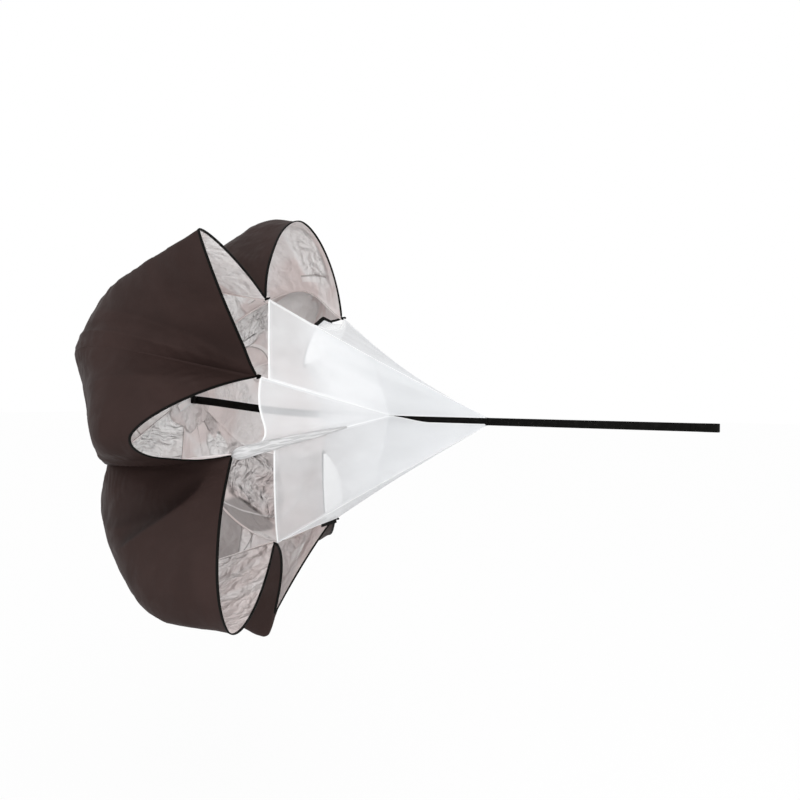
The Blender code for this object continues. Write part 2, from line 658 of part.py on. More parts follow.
def end_loop():
    """The belt loop: webbing folded back on itself, open between its seam and its flat far end."""
    start, layer = LOOP_SEAM_LENGTH - LOOP_LENGTH, GAP / 2
    half = [(GAP + WEBBING_THICKNESS / 2 - LOOP_LENGTH, layer), (start, layer)]
    half += [(start * (1 - along), layer + LOOP_OPENING / 2 * out) for along, out in LOOP_SWELL_SHARES]
    half = np.array(half + [(0.0, LOOP_FACE / 2)])
    along = unit(np.gradient(half, axis=0))
    outward = np.column_stack([-along[:, 1], along[:, 0]])
    outward[:2] = (0.0, 1.0)
    outward[-1] = (1.0, 0.0)
    inner = np.concatenate([half, half[::-1] * (1, -1)])
    flat = np.concatenate([outward, outward[::-1] * (1, -1)])
    centres = np.column_stack([inner + flat * WEBBING_THICKNESS / 2, np.zeros(len(inner))])
    flat = np.column_stack([flat, np.zeros(len(flat))])
    wide = np.tile((0.0, 0.0, 1.0), (len(centres), 1))
    ribbon("end_loop", centres, wide, flat, WEBBING_WIDTH, WEBBING_THICKNESS, BLACK_WEBBING)


def loop_bartack():
    """The raised bar of stitching across the loop's seam, on the near side."""
    middle = LOOP_SEAM_LENGTH / 2 - LOOP_LENGTH
    depth = -WEBBING_THICKNESS - 2 * GAP - BARTACK_THICKNESS / 2
    ends = np.array([(middle - BARTACK_LENGTH / 2, depth, 0.0), (middle + BARTACK_LENGTH / 2, depth, 0.0)])
    wide = np.tile((0.0, 0.0, 1.0), (2, 1))
    flat = np.tile((0.0, 1.0, 0.0), (2, 1))
    width = WEBBING_WIDTH - BARTACK_THICKNESS
    ribbon("loop_bartack", ends, wide, flat, width, BARTACK_THICKNESS, BLACK_BINDING)


def hang_canopy():
    """Hangs the canopy, net and centre strap from an empty on the line at the net's point."""
    pivot = bpy.data.objects.new("canopy_pivot", None)
    pivot.location = (APEX_X, 0.0, 0.0)
    bpy.context.scene.collection.objects.link(pivot)
    for piece in list(bpy.data.objects):
        if piece.type == "MESH" and piece.name not in ("tow_strap", "end_loop", "loop_bartack"):
            piece.parent = pivot
            piece.location = piece.location - pivot.location


def main():
    """Clears the scene and builds the parachute."""
    for old in list(bpy.data.objects):
        bpy.data.objects.remove(old, do_unlink=True)
    gores()
    hem_bindings()
    corner_tabs()
    net_panels()
    apex_binding()
    corner_roll()
    bent_tape()
    lower_tape()
    crown_patches()
    centre_strap()
    tow_strap()
    end_loop()
    loop_bartack()
    hang_canopy()


main()
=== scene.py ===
"""Speed parachute: a sewn canopy, silver inside, a cone of white net and black webbing, in a pale studio.

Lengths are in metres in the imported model's frame: +X looks to the runner, +Z up and -Y to the near side.
"""
import logging
import math
from dataclasses import dataclass, field
from enum import Enum

import bpy
import numpy as np
from mathutils import Matrix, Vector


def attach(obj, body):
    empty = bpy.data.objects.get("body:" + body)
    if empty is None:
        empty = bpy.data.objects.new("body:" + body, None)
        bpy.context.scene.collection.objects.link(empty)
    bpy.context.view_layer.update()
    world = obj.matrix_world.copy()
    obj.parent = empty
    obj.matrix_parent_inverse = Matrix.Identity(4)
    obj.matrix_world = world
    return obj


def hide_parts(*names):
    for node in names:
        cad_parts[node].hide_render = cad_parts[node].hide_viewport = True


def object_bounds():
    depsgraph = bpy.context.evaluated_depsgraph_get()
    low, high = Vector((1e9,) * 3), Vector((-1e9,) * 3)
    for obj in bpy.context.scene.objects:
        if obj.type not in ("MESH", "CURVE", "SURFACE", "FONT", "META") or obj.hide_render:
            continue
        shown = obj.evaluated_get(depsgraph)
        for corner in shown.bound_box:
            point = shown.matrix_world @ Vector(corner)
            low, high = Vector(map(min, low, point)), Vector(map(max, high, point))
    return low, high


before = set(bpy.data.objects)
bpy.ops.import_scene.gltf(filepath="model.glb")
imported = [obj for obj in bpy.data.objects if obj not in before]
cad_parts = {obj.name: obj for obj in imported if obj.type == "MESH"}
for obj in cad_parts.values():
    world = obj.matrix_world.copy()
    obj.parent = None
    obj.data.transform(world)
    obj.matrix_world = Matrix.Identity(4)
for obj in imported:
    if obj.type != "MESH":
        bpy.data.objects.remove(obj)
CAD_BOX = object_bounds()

LOG = logging.getLogger("speed_parachute")
Array = np.ndarray
Colour = tuple[float, float, float]
Shares = tuple[tuple[float, float], ...]
Socket = bpy.types.NodeSocket
Piece = bpy.types.Object
Material = bpy.types.Material

CANOPY_BODY = "canopy"
STRAP_BODY = "tow_strap"
LOOP_BODY = "end_loop"


# Numbers shared by the whole parachute


@dataclass(frozen=True)
class Layout:
    """Sizes that the canopy, the net and the webbing share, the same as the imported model's."""

    loop_length: float = 0.046
    tow_length: float = 0.384
    net_length: float = 0.436
    canopy_depth: float = 0.363
    mouth_radius: float = 0.262
    arch_radius: float = 0.448
    crown_radius: float = 0.045
    webbing_width: float = 0.015
    webbing_thickness: float = 0.0016
    strap_sag: float = 0.007
    strap_root_width: float = 0.019
    strap_gap: float = 0.0045
    crown_rise: float = 0.034
    slit_reach: float = 0.211
    tab_length: float = 0.013

    @property
    def apex_x(self) -> float:
        """Where the net comes to its point."""
        return -self.loop_length - self.tow_length

    @property
    def mouth_x(self) -> float:
        """Where the canopy's mouth lies."""
        return self.apex_x - self.net_length

    @property
    def crown_x(self) -> float:
        """Where the crown lies."""
        return self.mouth_x - self.canopy_depth

    @property
    def strap_start_x(self) -> float:
        """Where the centre strap starts, just inside the crown."""
        return self.crown_x + self.strap_gap

    @property
    def knee_x(self) -> float:
        """Where the net's slit lets the strap out."""
        return self.mouth_x + self.slit_reach


PLAN = Layout()
FORWARD = np.array([1.0, 0.0, 0.0])
NEAR = np.array([0.0, -1.0, 0.0])


# Geometry on grids of points


def unit(vectors: Array) -> Array:
    """Vectors scaled to a length of one."""
    return vectors / np.maximum(np.linalg.norm(vectors, axis=-1, keepdims=True), 1e-12)


def ease(values: Array) -> Array:
    """A smooth step from 0 to 1."""
    values = np.clip(values, 0, 1)
    return values * values * (3 - 2 * values)


def through(knots: Array, values: Array, places: Array) -> Array:
    """A smooth curve through values at knots.

    Args:
        knots: Places of the values, rising.
        values: One row for each knot.
        places: Where the curve is wanted.

    Returns:
        One row for each place, on cubic pieces whose slopes are those of the neighbouring chords.
    """
    knots, values = np.asarray(knots, float), np.asarray(values, float)
    chords = (values[1:] - values[:-1]) / (knots[1:] - knots[:-1])[:, None]
    inner = (values[2:] - values[:-2]) / (knots[2:] - knots[:-2])[:, None]
    slopes = np.concatenate([chords[:1], inner, chords[-1:]])
    piece = np.clip(np.searchsorted(knots, places, side="right") - 1, 0, len(knots) - 2)
    span = (knots[piece + 1] - knots[piece])[:, None]
    share = (np.asarray(places) - knots[piece])[:, None] / span
    return ((1 + 2 * share) * (1 - share) ** 2 * values[piece]
            + share * (1 - share) ** 2 * span * slopes[piece]
            + share ** 2 * (3 - 2 * share) * values[piece + 1]
            + share ** 2 * (share - 1) * span * slopes[piece + 1])


def turned(forward: Array, out: Array, angle: float) -> Array:
    """Points forward of the mouth and out from the strap.

    Args:
        forward: How far each point lies ahead of the mouth.
        out: How far each point lies from the strap's line.
        angle: The way out, in degrees from the top towards the near side.

    Returns:
        The points: the distance out is shared by the angle's sine and cosine.
    """
    angle = math.radians(angle)
    return np.stack([PLAN.mouth_x + forward, -out * math.sin(angle), out * math.cos(angle)], axis=-1)


def fine(count: int) -> int:
    return count // 1


def grid_normals(grid: Array) -> Array:
    """Unit normals of a grid of points, from the differences along its rows and columns."""
    return unit(np.cross(np.gradient(grid, axis=1), np.gradient(grid, axis=0)))


def lattice_noise(points: Array, size: float, seed: int) -> Array:
    """Smooth noise from -1 to 1.

    Args:
        points: Any array of points, whose last axis holds three coordinates.
        size: The spacing of the noise's lattice.
        seed: Which noise it is.

    Returns:
        One value for each point: a smooth blend of the mixed-up numbers of its lattice cell's eight corners.
    """
    scaled = points / size + seed * 17.3
    low = np.floor(scaled).astype(np.int64)
    share = scaled - low
    share = share * share * (3 - 2 * share)
    total = np.zeros(points.shape[:-1])
    for step in range(8):
        offset = np.array([step & 1, (step >> 1) & 1, (step >> 2) & 1])
        cell = low + offset
        mixed = cell[..., 0] * 73856093 ^ cell[..., 1] * 19349663 ^ cell[..., 2] * 83492791 ^ seed * 2654435
        mixed = (mixed ^ (mixed >> 13)) * 1274126177
        value = ((mixed ^ (mixed >> 16)) & 0xFFFF) / 32767.5 - 1
        weight = np.prod(np.where(offset, share, 1 - share), axis=-1)
        total += value * weight
    return total


def crinkle(points: Array, size: float, seed: int) -> Array:
    """Creases between small flat facets.

    Args:
        points: Any array of points, whose last axis holds three coordinates.
        size: How large a facet is.
        seed: Which creases they are.

    Returns:
        Values of about -1 to 1: noise of two sizes, folded at its middle and bent by a broader noise.
    """
    bend = np.stack([lattice_noise(points, size * 1.7, seed + 11 + axis) for axis in range(3)], axis=-1)
    folded = 1 - 2 * np.abs(lattice_noise(points + bend * size * 0.6, size, seed))
    finer = 1 - 2 * np.abs(lattice_noise(points + bend * size * 0.3, size * 0.47, seed + 5))
    return 0.65 * folded + 0.35 * finer


class Slot(Enum):
    """The record's material slots."""

    DARK = "dark_nylon"
    SILVER = "silver_coating"
    WEBBING = "black_webbing"
    BINDING = "black_binding"
    NET = "white_net"
    TAPE = "white_tape"


# How a cloth lies at a point, and what it is where nothing is said: how close its net is, how much light or
# shade is painted on its colour along with its own tone, how much it is crumpled, how strongly upright and
# level wrinkles run over it, how far it is from a cross seam, and whether that seam reaches so far
CLOTH_VALUES = {
    "Density": 1.0,
    "Tone": 0.0,
    "Crumple": 0.0,
    "Upright": 0.0,
    "Level": 0.0,
    "Seam": 1.0,
    "Stitched": 0.0,
}


@dataclass
class Mesh:
    """A mesh under construction, as lists of arrays that made() joins.

    A face has a material's number, and a point has a UV pair and the cloth's values.
    """

    points: list = field(default_factory=list)
    faces: list = field(default_factory=list)
    finishes: list = field(default_factory=list)
    places: list = field(default_factory=list)
    values: list = field(default_factory=list)
    count: int = 0

    def add_grid(self, grid: Array, places: Array, finish: int = 0, flip: bool = False,
                 wrap: bool = False, **values: Array) -> Array:
        """Adds a grid of points as quads.

        Args:
            grid: Rows by columns of points.
            places: Rows by columns of UV pairs.
            finish: The material's number.
            flip: Whether the faces look the other way.
            wrap: Whether the last column meets the first.
            values: Rows by columns of the cloth values, each under its own name.

        Returns:
            The numbers of the points, rows by columns.
        """
        rows, columns = grid.shape[:2]
        number = np.arange(rows * columns).reshape(rows, columns) + self.count
        self.count += rows * columns
        self.points.append(grid.reshape(-1, 3))
        self.places.append(places.reshape(-1, 2))
        self.values.append({name: np.broadcast_to(values.get(name, usual), (rows, columns)).reshape(-1)
                            for name, usual in CLOTH_VALUES.items()})
        ring = np.concatenate([number, number[:, :1]], axis=1) if wrap else number
        quads = np.stack([ring[:-1, :-1], ring[:-1, 1:], ring[1:, 1:], ring[1:, :-1]], axis=-1).reshape(-1, 4)
        self.add_faces(quads[:, ::-1] if flip else quads, finish)
        return number

    def add_faces(self, quads: Array, finish: int = 0) -> None:
        """Adds faces of four numbered points each."""
        self.faces.append(quads)
        self.finishes.append(np.full(len(quads), finish))

    def close_rim(self, first: Array, second: Array, finish: int = 0) -> None:
        """Joins two lines of numbered points with a strip of faces."""
        self.add_faces(np.stack([first[:-1], second[:-1], second[1:], first[1:]], axis=-1), finish)

    def made(self, name: str, materials: list[Material], cad_nodes: tuple[str, ...] = (),
             body: str = CANOPY_BODY) -> Piece:
        """The finished object, riding on a body.

        Args:
            name: The object's name.
            materials: Its materials, in the order of the face numbers.
            cad_nodes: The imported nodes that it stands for.
            body: The body that it rides on.

        Returns:
            The object, at the origin, with its place in its mesh.
        """
        mesh = bpy.data.meshes.new(name)
        faces = np.concatenate(self.faces)
        mesh.from_pydata(np.concatenate(self.points).tolist(), [], faces.tolist())
        mesh.polygons.foreach_set("material_index", np.concatenate(self.finishes).astype(np.int32))
        mesh.polygons.foreach_set("use_smooth", np.ones(len(faces), bool))
        layer = mesh.uv_layers.new(name="UVMap")
        corners = np.concatenate(self.places)[faces.reshape(-1)]
        layer.data.foreach_set("uv", corners.reshape(-1).astype(np.float32))
        for key in CLOTH_VALUES:
            layer = mesh.attributes.new(key, "FLOAT", "POINT")
            joined = np.concatenate([values[key] for values in self.values])
            layer.data.foreach_set("value", joined.astype(np.float32))
        for material in materials:
            mesh.materials.append(material)
        mesh.update()
        thing = bpy.data.objects.new(name, mesh)
        bpy.context.scene.collection.objects.link(thing)
        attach(thing, body)
        if cad_nodes:
            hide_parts(*cad_nodes)
        return thing


def tube_grid(centres: Array, wide: Array, deep: Array, sides: int, squareness: float = 1.0) -> Array:
    """Rings of points round centres.

    Args:
        centres: The middle of each ring.
        wide: Half-width vector of each ring.
        deep: Half-depth vector of each ring.
        sides: Points in a ring.
        squareness: 1 for an ellipse, and less for a rounder rectangle.

    Returns:
        Rings by sides of points: the half-width times the cosine of the turn and the half-depth times its sine,
        both raised to the squareness.
    """
    turn = np.linspace(0, 2 * math.pi, sides, endpoint=False)
    cosine, sine = np.cos(turn), np.sin(turn)
    across = (np.sign(cosine) * np.abs(cosine) ** squareness)[None, :, None]
    up = (np.sign(sine) * np.abs(sine) ** squareness)[None, :, None]
    return centres[:, None] + across * wide[:, None] + up * deep[:, None]


def add_tube(mesh: Mesh, grid: Array, length: float, girth: float, finish: int = 0) -> None:
    """Adds a closed tube of rings to a mesh, with its ends drawn in to a point.

    Args:
        mesh: The mesh under construction.
        grid: Rings by sides of points.
        length: How far the UV map runs along the tube.
        girth: How far the UV map runs round it.
        finish: The material's number.
    """
    rows, sides = grid.shape[:2]
    along = np.linspace(0, length, rows)[:, None] * np.ones(sides)
    round_it = np.linspace(0, girth, sides)[None, :] * np.ones((rows, 1))
    places = np.stack([round_it, along], axis=-1)
    start, end = grid[:1].mean(axis=1, keepdims=True), grid[-1:].mean(axis=1, keepdims=True)
    grid = np.concatenate([np.repeat(start, sides, axis=1), grid, np.repeat(end, sides, axis=1)])
    places = np.concatenate([places[:1], places, places[-1:]])
    mesh.add_grid(grid, places, finish, wrap=True)


def made_tube(name: str, grid: Array, cloth: tuple[float, float], finish: Material,
              cad_nodes: tuple[str, ...], body: str = CANOPY_BODY) -> Piece:
    """A piece that is one closed tube of rings; cloth is its UV map's length and girth."""
    mesh = Mesh()
    add_tube(mesh, grid, *cloth)
    return mesh.made(name, [finish], cad_nodes, body)


def path_frames(centres: Array, side: Array) -> tuple[Array, Array, Array]:
    """Directions along a path and across it.

    Args:
        centres: Points along the path.
        side: The way across that is wanted, for each point or for all.

    Returns:
        The way along the path, the part of the wanted way that is square to it, and the way square to both.
    """
    along = unit(np.gradient(centres, axis=0))
    side = np.broadcast_to(side, centres.shape)
    across = unit(side - along * np.sum(side * along, axis=-1, keepdims=True))
    return along, across, np.cross(along, across)


def spaced(line: Array, count: int) -> Array:
    """The same line with its points at equal steps of the length travelled."""
    travelled = np.concatenate([[0], np.cumsum(np.linalg.norm(np.diff(line, axis=0), axis=1))])
    stations = np.linspace(0, travelled[-1], count)
    return np.column_stack([np.interp(stations, travelled, line[:, axis]) for axis in range(3)])


def line_length(line: Array) -> float:
    """The length of a line of points."""
    return float(np.linalg.norm(np.diff(line, axis=0), axis=1).sum())


# Finishes


class Nodes:
    """A material's node tree, with short ways to add to it."""

    def __init__(self, name: str) -> None:
        """Starts a material with an empty tree."""
        self.material = bpy.data.materials.new(name)
        self.material.use_nodes = True
        self.tree = self.material.node_tree
        self.tree.nodes.clear()
        self.output = self.add("ShaderNodeOutputMaterial")

    def add(self, kind: str, **settings: object) -> bpy.types.Node:
        """Adds a node with its properties by name, and with a dictionary of values and sockets as inputs."""
        inputs = settings.pop("inputs", {})
        node = self.tree.nodes.new(kind)
        for key, value in settings.items():
            setattr(node, key, value)
        for key, value in inputs.items():
            if isinstance(value, Socket):
                self.tree.links.new(value, node.inputs[key])
            else:
                node.inputs[key].default_value = value
        return node

    def maths(self, operation: str, *values: Socket | float) -> Socket:
        """The result of a Math node."""
        return self.add("ShaderNodeMath", operation=operation, inputs=dict(enumerate(values))).outputs[0]

    def ribs(self, value: Socket, pitch: float) -> Socket:
        """Ribs at a pitch along a coordinate, as its sine."""
        return self.maths("SINE", self.maths("MULTIPLY", value, 2 * math.pi / pitch))

    def cloth_value(self, name: str) -> Socket:
        """One of the cloth's own values."""
        return self.add("ShaderNodeAttribute", attribute_name=name).outputs["Fac"]

    def own_place(self) -> Socket:
        """The object's own coordinates."""
        return self.add("ShaderNodeTexCoord").outputs["Object"]

    def ramp(self, value: Socket, low: float, high: float, to_low: float = 0.0, to_high: float = 1.0) -> Socket:
        """A value carried smoothly from the range low to high to the range to_low to to_high."""
        node = self.add("ShaderNodeMapRange", interpolation_type="SMOOTHSTEP",
                        inputs={0: value, 1: low, 2: high, 3: to_low, 4: to_high})
        return node.outputs[0]

    def mixed(self, share: Socket | float, first: Socket | Colour, second: Socket | Colour) -> Socket:
        """A mix of two colours by the share that the second one has."""
        node = self.add("ShaderNodeMix", data_type="RGBA")
        for index, value in ((0, share), (6, first), (7, second)):
            if isinstance(value, Socket):
                self.tree.links.new(value, node.inputs[index])
            else:
                node.inputs[index].default_value = value if index == 0 else (*value, 1.0)
        return node.outputs[2]

    def noise(self, scale: float, detail: float = 2.0, distortion: float = 0.0,
              vector: Socket | None = None) -> Socket:
        """A noise from 0 to 1 over the object's own coordinates, or over a vector."""
        return self.add("ShaderNodeTexNoise", inputs={"Vector": vector or self.own_place(), "Scale": scale,
                                                      "Detail": detail, "Distortion": distortion}).outputs[0]

    def bump(self, height: Socket, strength: float, distance: float,
             under: Socket | None = None) -> Socket:
        """A normal bumped by a height from 0 to 1, where 1 stands as high as the distance."""
        inputs = {"Strength": strength, "Distance": distance, "Height": height}
        if under is not None:
            inputs["Normal"] = under
        return self.add("ShaderNodeBump", inputs=inputs).outputs[0]

    def place(self) -> tuple[Socket, Socket]:
        """The two numbers of the UV map."""
        pair = self.add("ShaderNodeUVMap", uv_map="UVMap").outputs[0]
        split = self.add("ShaderNodeSeparateXYZ", inputs={0: pair})
        return split.outputs[0], split.outputs[1]

    def finish(self, shader: Socket) -> Material:
        """Sends a shader to the output and gives the material."""
        self.tree.links.new(shader, self.output.inputs[0])
        return self.material

    def principled(self, **inputs: Socket | float) -> Socket:
        """A Principled shader with inputs named in its own words, spaces as underscores."""
        return self.add("ShaderNodeBsdfPrincipled",
                        inputs={key.replace("_", " "): value for key, value in inputs.items()}).outputs[0]


# The blacks that the webbing and its bindings share
BLACK: Colour = (0.0016, 0.0015, 0.0011)
WORN_BLACK: Colour = (0.0050, 0.0048, 0.0040)


@dataclass(frozen=True)
class DarkNylon:
    """Dark brown-grey nylon: a fine weave, faint creases with painted shade in their hollows, and a low sheen.
    """

    plain: Colour = (0.0375, 0.0222, 0.0200)
    deep: Colour = (0.031, 0.0184, 0.0165)
    shaded: Colour = (0.014, 0.0082, 0.0074)
    weave_scale: float = 420.0
    weave_height: float = 0.0003
    crease_height: float = 0.004
    roughness: tuple[float, float] = (0.54, 0.66)
    sheen: float = 0.08

    def material(self) -> Material:
        """Two browns mixed by a broad noise and darkened by painted shade where asked, over bumps of creases and
        weave.
        """
        nodes = Nodes("dark_nylon")
        weave = nodes.add("ShaderNodeTexWave", wave_type="BANDS", bands_direction="DIAGONAL",
                          inputs={"Scale": self.weave_scale, "Distortion": 1.0, "Detail": 1.0}).outputs[1]
        colour = nodes.mixed(nodes.ramp(nodes.noise(7.0, 3.0, 0.6), 0.35, 0.68), self.deep, self.plain)
        # Painted shade: the colour goes towards the shaded brown in the creases' hollows and on the crown patch
        colour = nodes.mixed(nodes.ramp(nodes.cloth_value("Tone"), 0.0, -1.0, 0.0, 0.85), colour, self.shaded)
        normal = nodes.bump(nodes.noise(38.0, 4.0, 1.2), 0.16, self.crease_height)
        normal = nodes.bump(weave, 0.05, self.weave_height, normal)
        rough = nodes.ramp(nodes.noise(26.0, 3.0), 0.3, 0.7, *self.roughness)
        return nodes.finish(nodes.principled(Base_Color=colour, Roughness=rough, Normal=normal,
                                             Specular_IOR_Level=self.sheen))


@dataclass(frozen=True)
class SilverCoating:
    """Silver coated cloth: crumpled and wrinkled, warm and cool by turns, with light and shade painted on where
    its values say so.
    """

    pale_and_painted_light: Colour = (0.985, 0.985, 0.98)
    cool: Colour = (0.885, 0.86, 0.855)
    warm: Colour = (0.80, 0.72, 0.705)
    grey_and_painted_shade: Colour = (0.42, 0.395, 0.39)
    least_crumple: float = 0.16
    facet_scale: float = 30.0
    small_facet_scale: float = 75.0
    upright_scales: tuple[float, float, float] = (58.0, 58.0, 9.0)
    level_scales: tuple[float, float, float] = (9.0, 9.0, 62.0)
    facet_height: float = 0.014
    wrinkle_height: float = 0.0050
    swell_height: float = 0.012
    seam_height: float = 0.002
    seam_reach: tuple[float, float] = (0.0012, 0.0026)
    highlight_from_seam: float = 0.0075
    highlight_reach: tuple[float, float] = (0.004, 0.007)
    roughness: tuple[float, float] = (0.34, 0.50)
    metal: float = 0.15
    gloss: float = 0.5

    def material(self) -> Material:
        """The coating's colour and folds on one shader."""
        nodes = Nodes("silver_coating")
        lie = {name: nodes.cloth_value(name) for name in list(CLOTH_VALUES)[1:]}
        seam, edge = self.seam_shade_and_highlight(nodes, lie)
        rough = nodes.ramp(nodes.noise(50.0, 3.0), 0.3, 0.7, *self.roughness)
        return nodes.finish(nodes.principled(Base_Color=self.colour(nodes, lie, seam, edge), Roughness=rough,
                                             Normal=self.normal(nodes, lie, seam), Metallic=self.metal,
                                             Specular_IOR_Level=self.gloss))

    def seam_shade_and_highlight(self, nodes: Nodes, lie: dict[str, Socket]) -> tuple[Socket, Socket]:
        """Where a cross seam is stitched, with painted shade, and where its folded edge lies, with a painted
        highlight.

        Args:
            nodes: The material's nodes.
            lie: The cloth's own values.

        Returns:
            1 on the stitches and on the edge beside them, falling to 0 with the distance from each.
        """
        away = nodes.maths("ABSOLUTE", lie["Seam"])
        seam = nodes.maths("MULTIPLY", lie["Stitched"], nodes.ramp(away, *self.seam_reach, 1.0, 0.0))
        away = nodes.maths("ABSOLUTE", nodes.maths("SUBTRACT", lie["Seam"], self.highlight_from_seam))
        return seam, nodes.maths("MULTIPLY", nodes.ramp(away, *self.highlight_reach, 1.0, 0.0), lie["Stitched"])

    def colour(self, nodes: Nodes, lie: dict[str, Socket], seam: Socket, edge: Socket) -> Socket:
        """Warm and cool silver by turns, paler by painted light and greyer by painted shade, with painted shade
        in creases and along seams.

        Args:
            nodes: The material's nodes.
            lie: The cloth's own values.
            seam: Where a cross seam is stitched, for painted shade.
            edge: Where its folded edge lies, for a painted highlight.

        Returns:
            The colour.
        """
        colour = nodes.mixed(nodes.ramp(nodes.noise(5.5, 2.0, 0.8), 0.42, 0.58), self.warm, self.cool)
        # Painted light towards the pale silver and painted shade towards the grey, where the patches ask
        colour = nodes.mixed(nodes.ramp(lie["Tone"], 0.0, 1.0), colour, self.pale_and_painted_light)
        colour = nodes.mixed(nodes.ramp(lie["Tone"], 0.0, -1.0), colour, self.grey_and_painted_shade)
        # Painted shade: where the cloth is crumpled or wrinkled, a noise lays grey into its creases
        folded = nodes.maths("ADD", lie["Crumple"], nodes.maths("ADD", lie["Upright"], lie["Level"]))
        painted_crease_shade = nodes.ramp(nodes.noise(34.0, 3.0, 1.2), 0.50, 0.68, 0.0, 0.24)
        colour = nodes.mixed(nodes.maths("MULTIPLY", folded, painted_crease_shade), colour, self.grey_and_painted_shade)
        # A painted highlight along the seam's folded edge, and painted shade along its stitches
        colour = nodes.mixed(nodes.maths("MULTIPLY", edge, 0.55), colour, self.pale_and_painted_light)
        return nodes.mixed(nodes.maths("MULTIPLY", seam, 0.75), colour, self.grey_and_painted_shade)

    def normal(self, nodes: Nodes, lie: dict[str, Socket], seam: Socket) -> Socket:
        """Facets of two sizes, wrinkles of two ways, a broad swell and the seam, each as a bump over the last.

        Args:
            nodes: The material's nodes.
            lie: The cloth's own values.
            seam: Where a cross seam is stitched.

        Returns:
            The normal.
        """
        place = nodes.own_place()
        shift = nodes.add("ShaderNodeTexNoise", inputs={"Vector": place, "Scale": 14.0, "Detail": 2.0})
        warped = nodes.add("ShaderNodeVectorMath", operation="MULTIPLY_ADD",
                           inputs={0: shift.outputs[1], 1: (0.07, 0.07, 0.07), 2: place}).outputs[0]
        large = nodes.maths("MULTIPLY", self.facets(nodes, warped, self.facet_scale, 0.25), 0.9)
        small = nodes.maths("MULTIPLY", self.facets(nodes, warped, self.small_facet_scale, 0.2), 0.30)
        crumple = nodes.maths("ADD", lie["Crumple"], self.least_crumple)
        crumple = nodes.maths("MULTIPLY", crumple, nodes.maths("ADD", large, small))
        normal = nodes.bump(crumple, 1.0, self.facet_height)
        upright = nodes.maths("MULTIPLY", lie["Upright"], self.wrinkles(nodes, warped, self.upright_scales))
        level = nodes.maths("MULTIPLY", lie["Level"], self.wrinkles(nodes, warped, self.level_scales))
        normal = nodes.bump(nodes.maths("ADD", upright, level), 0.9, self.wrinkle_height, normal)
        normal = nodes.bump(nodes.noise(16.0, 3.0, 1.5), 0.45, self.swell_height, normal)
        return nodes.bump(seam, 0.6, self.seam_height, normal)

    @staticmethod
    def facets(nodes: Nodes, vector: Socket, scale: float, smoothness: float) -> Socket:
        """Small hollows with soft ridges between them: the distance to the nearest of many scattered points."""
        return nodes.add("ShaderNodeTexVoronoi", feature="SMOOTH_F1",
                         inputs={"Vector": vector, "Scale": scale, "Smoothness": smoothness}).outputs[0]

    @staticmethod
    def wrinkles(nodes: Nodes, vector: Socket, scales: tuple[float, float, float]) -> Socket:
        """Sharp wrinkles long one way: the distance from 0.5 of a noise over a stretched vector."""
        stretched = nodes.add("ShaderNodeVectorMath", operation="MULTIPLY", inputs={0: vector, 1: scales})
        noise = nodes.noise(1.0, 1.0, 0.2, stretched.outputs[0])
        folded = nodes.maths("ABSOLUTE", nodes.maths("SUBTRACT", noise, 0.5))
        return nodes.ramp(folded, 0.0, 0.24, 1.0, 0.0)


@dataclass(frozen=True)
class RibbedWebbing:
    """Black webbing: close ribs across its width, paler where they rub."""

    rib: float = 0.0017
    wale: float = 0.0030
    height: float = 0.0004
    roughness: float = 0.62
    sheen: float = 0.08

    def material(self) -> Material:
        """Two blacks mixed by a fine noise, over a bump of ribs along the webbing and wales across it."""
        nodes = Nodes("black_webbing")
        across, along = nodes.place()
        wales = nodes.maths("MULTIPLY", nodes.ribs(across, self.wale), 0.7)
        height = nodes.maths("ADD", nodes.ribs(along, self.rib), wales)
        colour = nodes.mixed(nodes.ramp(nodes.noise(90.0, 4.0), 0.45, 0.75), BLACK, WORN_BLACK)
        return nodes.finish(nodes.principled(Base_Color=colour, Roughness=self.roughness,
                                             Normal=nodes.bump(height, 0.35, self.height),
                                             Specular_IOR_Level=self.sheen))


@dataclass(frozen=True)
class Grosgrain:
    """Narrow black binding with fine cross ribs and a line of stitches."""

    rib: float = 0.0012
    rib_height: float = 0.0003
    stitch: float = 0.0036
    stitch_height: float = 0.0004
    roughness: float = 0.66
    sheen: float = 0.10

    def material(self) -> Material:
        """Two blacks mixed by a fine noise, over bumps of ribs and stitches along the binding."""
        nodes = Nodes("black_binding")
        along = nodes.place()[1]
        normal = nodes.bump(nodes.ribs(along, self.rib), 0.3, self.rib_height)
        stitches = nodes.ramp(nodes.ribs(along, self.stitch), -0.2, 0.2)
        normal = nodes.bump(stitches, 0.3, self.stitch_height, normal)
        colour = nodes.mixed(nodes.noise(120.0, 3.0), BLACK, WORN_BLACK)
        return nodes.finish(nodes.principled(Base_Color=colour, Roughness=self.roughness, Normal=normal,
                                             Specular_IOR_Level=self.sheen))


